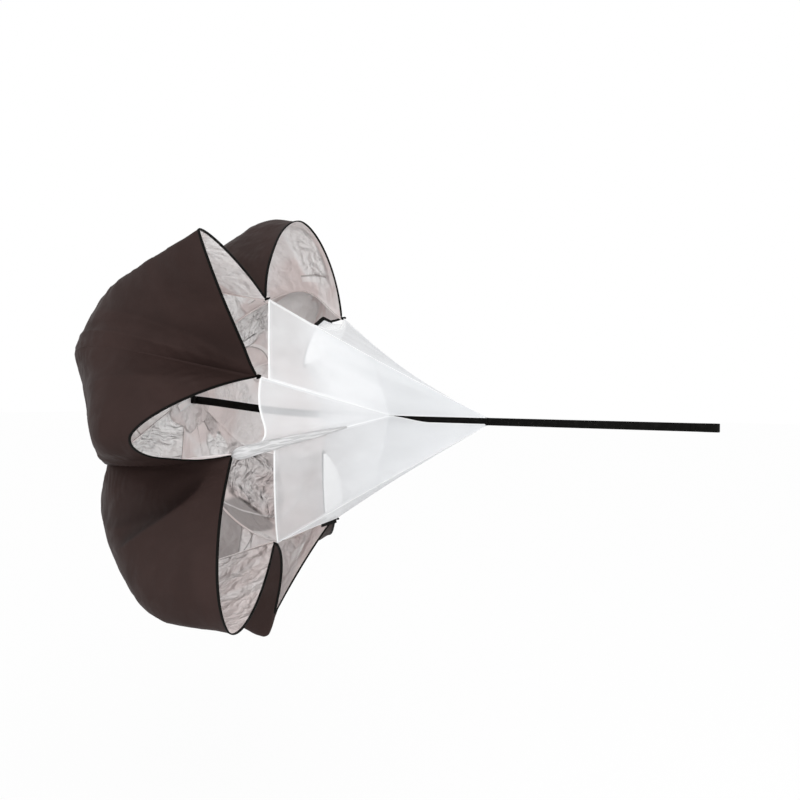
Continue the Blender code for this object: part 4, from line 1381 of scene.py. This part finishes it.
@dataclass(frozen=True)
class NetSizes:
    """Sizes of the net, its seams, its hem and the binding at its point."""

    slit_rises: tuple[float, float] = (0.0082, 0.0056)
    slit_offset: float = 0.0042
    seam_sag: float = 0.018
    seam_half_width: float = 0.0011
    seam_half_height: float = 0.0007
    fold_depth: float = 0.006
    pull_depth: float = 0.0024
    hem_width: float = 0.0046
    hem_half_width: float = 0.0018
    hem_half_thickness: float = 0.0006
    cord_girth: float = 0.01
    point_half_height: float = 0.0098
    point_half_width: float = 0.0050
    point_half_thickness: float = 0.0016
    point_behind: float = 0.014
    point_length: float = 0.013
    point_offset: float = 0.0022
    point_girth: float = 0.05
    landing_behind: float = 0.004
    point_rows: int = 24
    point_sides: int = 40
    rows: int = 96
    columns: int = 64


@dataclass(frozen=True)
class RollSizes:
    """Sizes of the rolled corner: pairs of a place along it and its thickness there, and its full measures."""

    thickness_shares: Shares = ((-0.03, 0.10), (-0.01, 0.62), (0.03, 0.92), (0.09, 1.0), (0.20, 0.92),
                                (0.32, 0.84), (0.48, 0.68), (0.75, 0.46), (1.0, 0.12))
    reach: float = 0.150
    half_width: float = 0.0128
    half_height: float = 0.0082
    gap: float = 0.0010
    rise: float = 0.0062
    lean: float = 0.0042
    cloth_length: float = 0.19
    cloth_girth: float = 0.06
    rows: int = 120
    sides: int = 40


@dataclass(frozen=True)
class SleeveSizes:
    """Sizes of the sleeve of net round the strap."""

    behind_hem: float = 0.030
    past_slit: float = 0.012
    lift: float = 0.0030
    half_width: float = 0.0042
    half_height: float = 0.0100
    narrowing: float = 0.0050
    cloth_length: float = 0.18
    cloth_radius: float = 0.008
    rows: int = 90
    sides: int = 48


@dataclass(frozen=True)
class GatherSizes:
    """Sizes of the bent tape and of the net gathered below it.

    The tape's line is given as shares of the way to the next corner: how far along it, and how far in from it.
    """

    line_shares: Shares = ((0.286, 0.080), (0.401, 0.062), (0.520, 0.144))
    knots: tuple[float, float, float] = (0.0, 0.5, 1.0)
    ahead: float = 0.027
    bulge: float = 0.0006
    tape_half_width: float = 0.0042
    tape_half_thickness: float = 0.0026
    tape_girth: float = 0.018
    hem_share: tuple[float, float] = (0.14, 0.62)
    net_ahead: float = 0.0016
    net_below: float = 0.0038
    net_width: float = 0.08
    net_drop: float = 0.045
    pucker: float = 0.0016
    tape_rows: int = 41
    net_rows: int = 30
    columns: int = 100


@dataclass(frozen=True)
class LowerTapeSizes:
    """Sizes of the wedge of tape on the lower far corner."""

    from_corner: float = 0.002
    length: float = 0.059
    outside: float = 0.003
    ahead: float = 0.0050
    half_height: float = 0.0080
    narrowing: float = 0.0044
    half_thickness: float = 0.0009
    cloth_length: float = 0.055
    cloth_girth: float = 0.018
    rows: int = 40


class Net:
    """The cone of net between the canopy's mouth and the strap."""

    def __init__(self, finishes: Finishes) -> None:
        """Keeps the finishes and sizes."""
        self.finishes = finishes
        self.sizes = NetSizes()
        self.roll_sizes = RollSizes()
        self.sleeve_sizes = SleeveSizes()
        self.gather_sizes = GatherSizes()
        self.lower_tape_sizes = LowerTapeSizes()
        self.rows = fine(self.sizes.rows)
        self.columns = fine(self.sizes.columns)

    def landing(self, index: int) -> Array:
        """Where a seam meets the net's point."""
        angle = math.radians(LANDING_ANGLES[index])
        sizes = self.sizes
        return np.array([PLAN.apex_x - sizes.landing_behind, -sizes.point_half_width * math.sin(angle),
                         sizes.point_half_height * math.cos(angle)])

    def seam_points(self, index: int, places: Array) -> Array:
        """A seam from its mouth corner (0) to the net's point (1).

        Args:
            index: Which seam.
            places: Places along it.

        Returns:
            The points: a straight line with a sine's sag, or for the two seams that part round the strap, a
            straight line to the slit and from there to the point.
        """
        index %= len(VALLEY_NAMES)
        point, out, _ = Canopy.corner(index)
        start = point + (PLAN.tab_length * 0.45, 0.0, 0.0)
        end = self.landing(index)
        flat = np.asarray(places)
        places = flat[:, None]
        if index not in SLIT_SEAMS:
            sag = self.sizes.seam_sag * SEAM_SAG_SHARES[index] * np.sin(math.pi * places)
            return start + (end - start) * places - out * sag
        rise = self.sizes.slit_rises[SLIT_SEAMS.index(index)]
        knee = np.array([PLAN.knee_x, -self.sizes.slit_offset, rise])
        share = PLAN.slit_reach / PLAN.net_length
        after = np.clip((flat - share) / (1 - share), 0, 1)
        beyond = knee + (end - knee) * np.stack([after, after, ease(after / 0.45)], axis=-1)
        return np.where(places < share, start + (knee - start) * places / share, beyond)

    def surface(self, index: int, rows: Array, across: Array) -> Array:
        """The folded surface of a panel.

        Args:
            index: Which panel.
            rows: Places from its bowed hem (0) to its far end (1).
            across: Places from one seam (0) to the next (1).

        Returns:
            Points on the chord between the seams, lifted by a wave and a noise that die out at all edges.
        """
        share = PLAN.slit_reach / PLAN.net_length
        reach = share if index == SLIT_SEAMS[0] else 1.0
        first, last, bow, lean = HEM_SHARES[index]
        leaning = across ** lean
        start = first + (last - first) * across + bow * 4 * leaning * (1 - leaning)
        places = start[None, :] + (reach - start[None, :]) * rows[:, None]
        left = self.seam_points(index, places.reshape(-1)).reshape(*places.shape, 3)
        right = self.seam_points(index + 1, places.reshape(-1)).reshape(*places.shape, 3)
        grid = left + (right - left) * across[None, :, None]
        wave = np.sin(3 * math.pi * across)[None, :] * np.sin(math.pi * across)[None, :]
        fade = (np.sin(math.pi * rows ** 0.7) ** 2 * (1 - rows))[:, None]
        pull = lattice_noise(grid * (0.35, 1.0, 1.0), 0.035, 120 + index)
        inner = (np.sin(math.pi * across)[None, :] ** 0.5) * (np.sin(math.pi * rows) ** 0.6)[:, None]
        wave = self.sizes.fold_depth * wave * fade
        pull = self.sizes.pull_depth * pull * inner * (1 - 0.8 * rows[:, None])
        return grid + grid_normals(grid) * (wave + pull)[..., None]

    def panel(self, index: int) -> Piece:
        """One panel of net.

        Args:
            index: Which panel.

        Returns:
            The panel. It is denser along its hem and seams and where its folds bunch.
        """
        sizes = self.sizes
        rows = np.linspace(0, 1, self.rows)
        even = np.linspace(0, 1, self.columns)
        across = 0.5 - 0.5 * np.cos(math.pi * even)
        across = 0.7 * across + 0.3 * even
        grid = self.surface(index, rows, across)
        width = np.linalg.norm(grid[:, -1] - grid[:, 0], axis=-1)
        length = line_length(grid[:, len(across) // 2])
        from_seam = np.minimum(across, 1 - across)[None, :] * width[:, None]
        from_hem = rows[:, None] * length * np.ones((1, len(across)))
        edge = np.maximum(*(np.exp(-(away / sizes.hem_width) ** 4) for away in (from_seam, from_hem)))
        begin, full = BUNCHING_PLACES[index]
        bunched = ease((rows - begin) / (full - begin))[:, None] * max(0.30, 0.92 - PANEL_DENSITY[index])
        streaks = 0.05 * lattice_noise(grid * (0.2, 1.0, 1.0), 0.02, 150 + index)
        density = np.clip(PANEL_DENSITY[index] + bunched + streaks + 0.35 * edge, 0.15, 1.0)
        uv = np.stack([across[None, :] * np.full_like(from_hem, width[0]), from_hem], axis=-1)
        mesh = Mesh()
        # Painted shade on the near and lower panels, fading towards the point
        tone = PANEL_PAINTED_SHADE[index] * (1 - 0.6 * ease(rows / 0.9))[:, None]
        mesh.add_grid(grid, uv, 0, Density=density, Tone=tone)
        name = GORE_NAMES[index]
        thing = mesh.made(f"net_{name}", [self.finishes.net], (f"net_panel_{name}",))
        return thing

    def seam_cord(self, index: int) -> Piece:
        """The rolled seam between two panels, thinner towards the point."""
        sizes = self.sizes
        count = fine(120)
        line = self.seam_points(index, np.linspace(0, 1, count))
        _, out, _ = Canopy.corner(index)
        _, across, side = path_frames(line, out)
        size = (1 - 0.45 * np.linspace(0, 1, count))[:, None]
        half_width, half_height = side * sizes.seam_half_width, across * sizes.seam_half_height
        ring = tube_grid(line, half_width * size, half_height * size, 8, 0.7)
        name = VALLEY_NAMES[index]
        return made_tube(f"net_seam_{name}", ring, (line_length(line), sizes.cord_girth), self.finishes.tape,
                         ())

    def hem_cord(self, index: int) -> Piece:
        """The turned hem along a panel's front edge."""
        sizes = self.sizes
        hem, behind = self.surface(index, np.linspace(0, 1, 40), np.linspace(0, 1, fine(100)))[:2]
        _, across, side = path_frames(hem, behind - hem)
        half_width = across * sizes.hem_half_width
        ring = tube_grid(hem + half_width, half_width, side * sizes.hem_half_thickness, 8, 0.7)
        name = GORE_NAMES[index]
        return made_tube(f"net_hem_{name}", ring, (line_length(hem), sizes.cord_girth), self.finishes.tape,
                         ())

    def roll(self) -> Piece:
        """The net's near corner, rolled up along its seam in uneven turns.

        Returns:
            The roll: an oval about a line on the seam, whose size follows the shares along it and whose surface
            rises and falls with two spirals.
        """
        sizes = self.roll_sizes
        index = SLIT_SEAMS[1]
        knots = np.array(sizes.thickness_shares)
        along = np.linspace(knots[0, 0], 1.0, fine(sizes.rows))
        size = through(knots[:, 0], knots[:, 1:], along)[:, 0]
        straight_share = 0.3
        seam = self.seam_points(index, np.array([0.0, straight_share]))
        reach = sizes.reach / PLAN.net_length
        line = seam[0] + (seam[1] - seam[0]) * (along * reach / straight_share)[:, None]
        _, out, round_way = Canopy.corner(index)
        way = unit(line[-1] - line[0])
        above = unit(out - way * np.dot(out, way))
        side = np.cross(way, above)
        turn = np.linspace(0, 2 * math.pi, sizes.sides, endpoint=False)[None, :]
        spiral = 1 + 0.05 * np.sin(3 * turn + 9 * along[:, None]) + 0.05 * np.sin(7 * turn - 14 * along[:, None])
        centre = line + above * (sizes.gap + sizes.rise * size)[:, None]
        centre = centre - round_way * (sizes.lean * size)[:, None]
        across = np.cos(turn)[..., None] * side * (sizes.half_width * size)[:, None, None]
        up = np.sin(turn)[..., None] * above * (sizes.half_height * size)[:, None, None]
        ring = centre[:, None] + (across + up) * spiral[..., None]
        return made_tube("net_roll", ring, (sizes.cloth_length, sizes.cloth_girth), self.finishes.rolled,
                         ("net_corner_roll",))

    def sleeve(self) -> Piece:
        """The pleated sleeve of net that hides the strap from the net's hem to the slit.

        Returns:
            The sleeve: an oval about the strap's line, narrower towards the slit, with pleats round it.
        """
        sizes = self.sleeve_sizes
        along = np.linspace(0, 1, fine(sizes.rows))
        start = PLAN.mouth_x + sizes.behind_hem
        x = start + (PLAN.knee_x + sizes.past_slit - PLAN.mouth_x - sizes.behind_hem) * along
        centres = Webbing.centre_line(x)
        centres[:, 2] += sizes.lift * ease((along - 0.55) / 0.45)
        height = sizes.half_height - sizes.narrowing * ease((along - 0.72) / 0.28)
        turn = np.linspace(0, 2 * math.pi, sizes.sides, endpoint=False)[None, :]
        pleat = 1 + 0.10 * np.sin(9 * turn + 8 * along[:, None]) + 0.05 * np.sin(17 * turn - 5 * along[:, None])
        across = np.cos(turn)[..., None] * np.array([0.0, 1.0, 0.0]) * sizes.half_width
        up = np.sin(turn)[..., None] * np.array([0.0, 0.0, 1.0]) * height[:, None, None]
        ring = centres[:, None] + (across + up) * pleat[..., None]
        places = np.stack([np.broadcast_to(turn * sizes.cloth_radius, ring.shape[:2]),
                           np.broadcast_to(along[:, None] * sizes.cloth_length, ring.shape[:2])], axis=-1)
        mesh = Mesh()
        mesh.add_grid(ring, places, 0, wrap=True)
        return mesh.made("net_sleeve", [self.finishes.rolled], ())

    @staticmethod
    def between_corners(first: int, second: int) -> tuple[Array, Array, Array, float]:
        """The start of the line between two mouth corners, its way, the way out, and its length."""
        start, out, _ = Canopy.corner(first)
        end = Canopy.corner(second)[0]
        reach = float(np.linalg.norm(end - start))
        way = (end - start) / reach
        return start, way, unit(np.cross(way, np.cross(out, way))), reach

    def gather_line(self) -> tuple[Array, Array, Array]:
        """Where the bent tape lies, from the upper far corner on.

        Returns:
            The three points that it passes through, its way along the mouth, and the way out.
        """
        start, way, out, reach = self.between_corners(0, 1)
        line = np.array([start + way * reach * along - out * reach * drop
                         for along, drop in self.gather_sizes.line_shares])
        return line + FORWARD * self.gather_sizes.ahead, way, out

    def bent_tape(self) -> Piece:
        """The bent black tape beside the upper far corner.

        Returns:
            The tape: a flat band along two straight stretches, with a small bulge where they meet.
        """
        sizes = self.gather_sizes
        line, way, _ = self.gather_line()
        places = np.linspace(0, 1, sizes.tape_rows)
        straight = np.column_stack([np.interp(places, sizes.knots, line[:, axis]) for axis in range(3)])
        _, across, face = path_frames(straight, np.cross(FORWARD, way))
        bend = np.exp(-((places - 0.5) / 0.05) ** 2)[:, None]
        ring = tube_grid(straight + FORWARD * sizes.bulge * bend, across * sizes.tape_half_width,
                         face * sizes.tape_half_thickness, 14, 0.4)
        return made_tube("gather_tape", ring, (line_length(straight), sizes.tape_girth), self.finishes.webbing,
                         ("net_bent_tape",))

    def gathered_net(self) -> Piece:
        """The net gathered below the bent tape.

        Returns:
            The net: straight lines from the tape to the hem, puckered by a wave that dies out towards the hem.
        """
        sizes = self.gather_sizes
        line, _, out = self.gather_line()
        columns = fine(sizes.columns)
        places = np.linspace(0, 1, columns)
        hem = self.surface(0, np.linspace(0, 1, self.rows), np.linspace(*sizes.hem_share, columns))[1]
        upper = np.column_stack([np.interp(places, sizes.knots, line[:, axis]) for axis in range(3)])
        upper = upper + FORWARD * sizes.net_ahead - out * sizes.net_below
        rows = np.linspace(0, 1, sizes.net_rows)[:, None, None]
        grid = upper + (hem - upper) * rows
        pucker = np.sin(places * 74 + 2.0 * np.sin(places * 11))[None, :] * (1 - rows[..., 0] * 0.8)
        ends = np.sin(math.pi * places)[None, :] ** 0.5
        inner = np.sin(math.pi * np.clip(rows[..., 0] + 0.1, 0, 1))
        grid = grid + grid_normals(grid) * (sizes.pucker * pucker * ends * inner)[..., None]
        uv = np.stack(np.meshgrid(places * sizes.net_width, rows[:, 0, 0] * sizes.net_drop), axis=-1)
        mesh = Mesh()
        mesh.add_grid(grid, uv, 0, Density=0.30 + 0.65 * (1 - ease(rows[..., 0] / 0.45)) * np.ones_like(pucker))
        return mesh.made("gathered_net", [self.finishes.net], ("net_gather",))

    def lower_tape(self) -> Piece:
        """The wedge of black tape on the lower far corner.

        Returns:
            The tape: a flat band along the mouth's edge, whose height falls evenly along it.
        """
        sizes = self.lower_tape_sizes
        start, way, out, _ = self.between_corners(5, 4)
        share = np.linspace(0, 1, sizes.rows)
        centres = start + np.outer(sizes.from_corner + sizes.length * share, way) + out * sizes.outside
        centres = centres + FORWARD * sizes.ahead
        height = sizes.half_height - sizes.narrowing * share
        thickness = np.tile(FORWARD * sizes.half_thickness, (sizes.rows, 1))
        ring = tube_grid(centres, np.outer(height, out), thickness, 14, 0.35)
        return made_tube("corner_tape", ring, (sizes.cloth_length, sizes.cloth_girth), self.finishes.webbing,
                         ("net_lower_tape",))

    def point_binding(self) -> Piece:
        """The gathered white binding that closes the net's point behind the strap.

        Returns:
            The binding: an upright oval with pleats round it, a little smaller towards the runner.
        """
        sizes = self.sizes
        along = np.linspace(0, 1, sizes.point_rows)
        x = PLAN.apex_x - sizes.point_behind + sizes.point_length * along
        y = np.full(sizes.point_rows, sizes.point_offset)
        centres = np.column_stack([x, y, np.zeros(sizes.point_rows)])
        size = (1 - 0.15 * along ** 2)[:, None]
        turn = np.linspace(0, 2 * math.pi, sizes.point_sides, endpoint=False)[None, :]
        pleat = 1 + 0.06 * np.sin(11 * turn)
        across = np.cos(turn)[..., None] * np.array([0.0, sizes.point_half_thickness, 0.0])
        up = np.sin(turn)[..., None] * np.array([0.0, 0.0, sizes.point_half_height])
        ring = centres[:, None] + (across + up) * size[..., None] * pleat[..., None]
        return made_tube("net_point", ring, (sizes.point_length, sizes.point_girth), self.finishes.tape,
                         ("net_apex_binding",))

    def build(self) -> None:
        """Builds the whole net."""
        for index in range(len(GORE_NAMES)):
            LOG.info("net %s", self.panel(index).name)
            LOG.info("net %s", self.hem_cord(index).name)
            LOG.info("net %s", self.seam_cord(index).name)
        for piece in (self.roll, self.sleeve, self.bent_tape, self.gathered_net, self.lower_tape,
                      self.point_binding):
            LOG.info("net %s", piece().name)


# The webbing


@dataclass(frozen=True)
class WebbingSizes:
    """Sizes of the strap's ends, the belt loop and its bar of stitches.

    The loop's swell is given as shares of the way from its seam to its far end and of its half-height.
    """

    clearance: float = 0.0004
    fold_length: float = 0.018
    seam_length: float = 0.011
    seam_gap: float = 0.0005
    layer: float = 0.0002
    narrowing: float = 0.004
    far_end_half_height: float = 0.004
    loop_swell: float = 0.0055
    swell_shares: Shares = ((0.12, 0.22), (0.28, 0.52), (0.48, 0.80), (0.68, 0.97), (0.84, 1.0), (0.95, 0.96))
    bar_from_end: float = 0.0055
    bar_half_length: float = 0.0028
    bar_margin: float = 0.0012
    bar_above: float = 0.0007
    thread_half_height: float = 0.00032
    thread_half_width: float = 0.00026
    thread_girth: float = 0.002
    thread_length: float = 0.2
    turns: int = 34


class Webbing:
    """The centre strap, the tow strap and the belt loop."""

    def __init__(self, finishes: Finishes) -> None:
        """Keeps the finishes and sizes."""
        self.finishes = finishes
        self.sizes = WebbingSizes()

    @staticmethod
    def centre_line(x: Array) -> Array:
        """The centre strap's line at places along X, falling as far as the net's slit and level from there."""
        slack = Webbing.slack(x)
        height = PLAN.crown_rise * (1 - slack) - PLAN.strap_sag * np.sin(math.pi * slack) ** 2
        return np.column_stack([x, np.zeros_like(x), height])

    @staticmethod
    def slack(x: Array) -> Array:
        """0 at the crown and 1 from the net's slit on."""
        return np.clip((x - PLAN.strap_start_x) / (PLAN.knee_x - PLAN.strap_start_x), 0, 1)

    def band(self, name: str, centres: Array, normal: Array, body: str, nodes: tuple[str, ...],
             wide: Array | None = None, width: Array | float = PLAN.webbing_width) -> Piece:
        """A band of webbing along centres.

        Args:
            name: The object's name.
            centres: Points along its middle.
            normal: The way its flat face looks, for each centre or for all.
            body: The body that it rides on.
            nodes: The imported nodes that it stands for.
            wide: The way of its width, worked out from the normal where none is given.
            width: Its width, for each centre or for all.

        Returns:
            The band.
        """
        along = unit(np.gradient(centres, axis=0))
        normal = np.broadcast_to(normal, centres.shape)
        wide = unit(np.cross(along, normal)) if wide is None else np.broadcast_to(wide, centres.shape)
        flat = unit(np.cross(wide, along))
        half = np.broadcast_to(np.asarray(width) / 2, (len(centres),))[:, None]
        ring = tube_grid(centres, wide * half, flat * PLAN.webbing_thickness / 2, 20, 0.32)
        return made_tube(name, ring, (line_length(centres), 2.2 * PLAN.webbing_width), self.finishes.webbing,
                         nodes, body)

    def centre_strap(self) -> Piece:
        """The strap from the crown to the net's point, narrowing evenly as far as the slit."""
        x = np.linspace(PLAN.strap_start_x, PLAN.apex_x - self.sizes.clearance, 260)
        width = PLAN.strap_root_width + (PLAN.webbing_width - PLAN.strap_root_width) * self.slack(x)
        line = self.centre_line(x)
        return self.band("centre_webbing", line, NEAR, CANOPY_BODY, ("centre_strap",), width=width)

    def folded_end(self) -> Piece:
        """The strap's end at the crown, folded back on its near side."""
        x = np.linspace(PLAN.strap_start_x, PLAN.strap_start_x + self.sizes.fold_length, 30)
        fold = self.centre_line(x) - (0.0, PLAN.webbing_thickness, 0.0)
        return self.band("folded_end", fold, NEAR, CANOPY_BODY, ("strap_fold",), width=PLAN.strap_root_width)

    def tow_strap(self) -> Piece:
        """The free strap between the net's point and the loop's seam, stopping half its thickness short of each.
        """
        half = PLAN.webbing_thickness / 2
        x = np.linspace(PLAN.apex_x - half, -PLAN.loop_length + half, 160)
        line = np.column_stack([x, np.zeros_like(x), np.zeros_like(x)])
        band = self.band("tow_webbing", line, NEAR, STRAP_BODY, ("tow_strap",))
        return band

    def end_loop(self) -> Piece:
        """The belt loop: webbing folded back on itself and stitched across.

        Returns:
            The loop: a band about a smoothed line through one half's points and their mirror image.
        """
        sizes = self.sizes
        start, layer = sizes.seam_length - PLAN.loop_length, sizes.layer
        half = [(sizes.seam_gap - PLAN.loop_length, layer), (start - sizes.narrowing, layer), (start, layer)]
        half += [(start * (1 - along), layer + sizes.loop_swell * out) for along, out in sizes.swell_shares]
        half = np.array(half + [(0.0, sizes.far_end_half_height), (0.0, 0.0)])
        inner = np.concatenate([half, half[:-1][::-1] * (1, -1)])
        flat_line = np.column_stack([inner, np.zeros(len(inner))])
        rough = spaced(flat_line, 200)
        smooth = rough.copy()
        for _ in range(10):
            smooth[1:-1] = (smooth[:-2] + 2 * smooth[1:-1] + smooth[2:]) / 4
        along = unit(np.gradient(smooth, axis=0))
        normal = np.column_stack([-along[:, 1], along[:, 0], np.zeros(len(along))])
        centres = smooth + normal * PLAN.webbing_thickness / 2
        self.loop = self.band("belt_loop", centres, normal, LOOP_BODY, ("end_loop",), wide=(0.0, 0.0, 1.0))
        return self.loop

    def bartack(self) -> Piece:
        """The bar of close stitches across the loop's seam: a thread that runs to and fro on either face."""
        sizes = self.sizes
        mesh = Mesh()
        middle = sizes.bar_from_end - PLAN.loop_length
        for face in (-1.0, 1.0):
            steps = np.linspace(0, 1, sizes.turns * 10)
            z = (steps - 0.5) * (PLAN.webbing_width - sizes.bar_margin)
            x = middle + sizes.bar_half_length * np.sin(steps * sizes.turns * math.pi)
            y = np.full_like(x, face * (PLAN.webbing_thickness + sizes.bar_above))
            line = np.column_stack([x, y, z])
            ring = tube_grid(line, np.tile((0.0, sizes.thread_half_height, 0.0), (len(line), 1)),
                             np.tile((0.0, 0.0, sizes.thread_half_width), (len(line), 1)), 6)
            add_tube(mesh, ring, sizes.thread_length, sizes.thread_girth)
        return mesh.made("bar_stitches", [self.finishes.binding], ("loop_bartack",), LOOP_BODY)

    def build(self) -> None:
        """Builds all the webbing."""
        for piece in (self.centre_strap, self.folded_end, self.end_loop, self.bartack, self.tow_strap):
            LOG.info("webbing %s", piece().name)


# The studio


@dataclass(frozen=True)
class Lamp:
    """A square lamp: where it stands, what it looks at, how wide it is and its power."""

    name: str
    place: tuple[float, float, float]
    target: tuple[float, float, float]
    size: float
    power: float


LAMPS = (
    Lamp("key", (0.9, -2.1, 2.0), (-0.85, 0.0, 0.0), 1.2, 11.0),
    Lamp("fill", (1.6, -0.6, -0.2), (-0.8, 0.0, 0.0), 1.4, 5.0),
    Lamp("front", (0.45, -1.85, 0.25), (-0.95, 0.1, 0.0), 0.9, 12.0),
)


@dataclass(frozen=True)
class StudioSizes:
    """Where the camera stands and how it is turned, and how the floor and the world look."""

    camera: tuple[float, float, float] = (0.2344, -1.4885, 0.051)
    lens: float = 36.97
    sensor: float = 36.0
    right_up_back: tuple[tuple[float, float, float], ...] = ((0.86438, -0.01257, 0.50268),
                                                             (0.50272, 0.0, -0.86445),
                                                             (0.01086, 0.99992, 0.00632))
    sight: float = 100.0
    floor_drop: float = 0.30
    floor_half_width: float = 30.0
    floor_grey: float = 0.85
    floor_glow: float = 0.90
    world_strength: float = 1.04


class Studio:
    """The floor, the backdrop, the lights and the camera."""

    def __init__(self) -> None:
        """Keeps the sizes."""
        self.sizes = StudioSizes()

    def camera(self) -> None:
        """The camera at the photograph's angle."""
        data = bpy.data.cameras.new("camera")
        data.lens, data.sensor_width, data.sensor_fit = self.sizes.lens, self.sizes.sensor, "HORIZONTAL"
        data.clip_end = self.sizes.sight
        thing = bpy.data.objects.new("camera", data)
        thing.matrix_world = Matrix.Translation(self.sizes.camera) @ Matrix(self.sizes.right_up_back).to_4x4()
        bpy.context.scene.collection.objects.link(thing)
        bpy.context.scene.camera = thing

    def world(self) -> None:
        """An even white world, whose light on the object is a little below the white that the camera sees."""
        world = bpy.data.worlds.new("studio")
        bpy.context.scene.world = world
        world.use_nodes = True
        tree = world.node_tree
        tree.nodes.clear()
        output = tree.nodes.new("ShaderNodeOutputWorld")
        mix = tree.nodes.new("ShaderNodeMixShader")
        seen, lit = (tree.nodes.new("ShaderNodeBackground") for _ in range(2))
        seen.inputs[0].default_value = lit.inputs[0].default_value = (1.0, 1.0, 1.0, 1.0)
        lit.inputs[1].default_value = self.sizes.world_strength
        path = tree.nodes.new("ShaderNodeLightPath")
        tree.links.new(path.outputs["Is Camera Ray"], mix.inputs[0])
        tree.links.new(lit.outputs[0], mix.inputs[1])
        tree.links.new(seen.outputs[0], mix.inputs[2])
        tree.links.new(mix.outputs[0], output.inputs[0])

    def floor(self) -> None:
        """A wide pale floor that keeps a trace of the object's shadow."""
        low = CAD_BOX[0][2] - self.sizes.floor_drop
        mesh = bpy.data.meshes.new("floor")
        size = self.sizes.floor_half_width
        mesh.from_pydata([(-size, -size, low), (size, -size, low), (size, size, low), (-size, size, low)], [],
                         [(0, 1, 2, 3)])
        thing = bpy.data.objects.new("floor", mesh)
        bpy.context.scene.collection.objects.link(thing)
        nodes = Nodes("floor_white")
        plain = nodes.add("ShaderNodeBsdfDiffuse", inputs={0: (*[self.sizes.floor_grey] * 3, 1.0)}).outputs[0]
        white = nodes.add("ShaderNodeEmission", inputs={0: (1.0, 1.0, 1.0, 1.0), 1: 1.0}).outputs[0]
        ray = nodes.add("ShaderNodeLightPath").outputs["Is Camera Ray"]
        share = nodes.maths("MULTIPLY", ray, self.sizes.floor_glow)
        mix = nodes.add("ShaderNodeMixShader", inputs={0: share, 1: plain, 2: white}).outputs[0]
        mesh.materials.append(nodes.finish(mix))

    @staticmethod
    def light(lamp: Lamp) -> None:
        """A square area lamp that looks at its target."""
        data = bpy.data.lights.new(lamp.name, "AREA")
        data.size, data.energy = lamp.size, lamp.power
        thing = bpy.data.objects.new(lamp.name, data)
        back = unit(np.subtract(lamp.place, lamp.target))
        right = unit(np.cross((0.0, 0.0, 1.0), back))
        up = np.cross(back, right)
        axes = Matrix(np.column_stack([right, up, back]).tolist())
        thing.matrix_world = Matrix.Translation(lamp.place) @ axes.to_4x4()
        bpy.context.scene.collection.objects.link(thing)

    def build(self) -> None:
        """Sets up the whole studio."""
        self.camera()
        self.world()
        self.floor()
        for lamp in LAMPS:
            self.light(lamp)
        bpy.context.scene.view_settings.view_transform = "Standard"


def main() -> None:
    """Builds the parachute in its studio."""
    logging.basicConfig(level=logging.INFO, format="%(message)s")
    Studio().build()
    finishes = Finishes()
    Webbing(finishes).build()
    Canopy(finishes).build()
    Net(finishes).build()


if __name__ == "__main__":
    main()
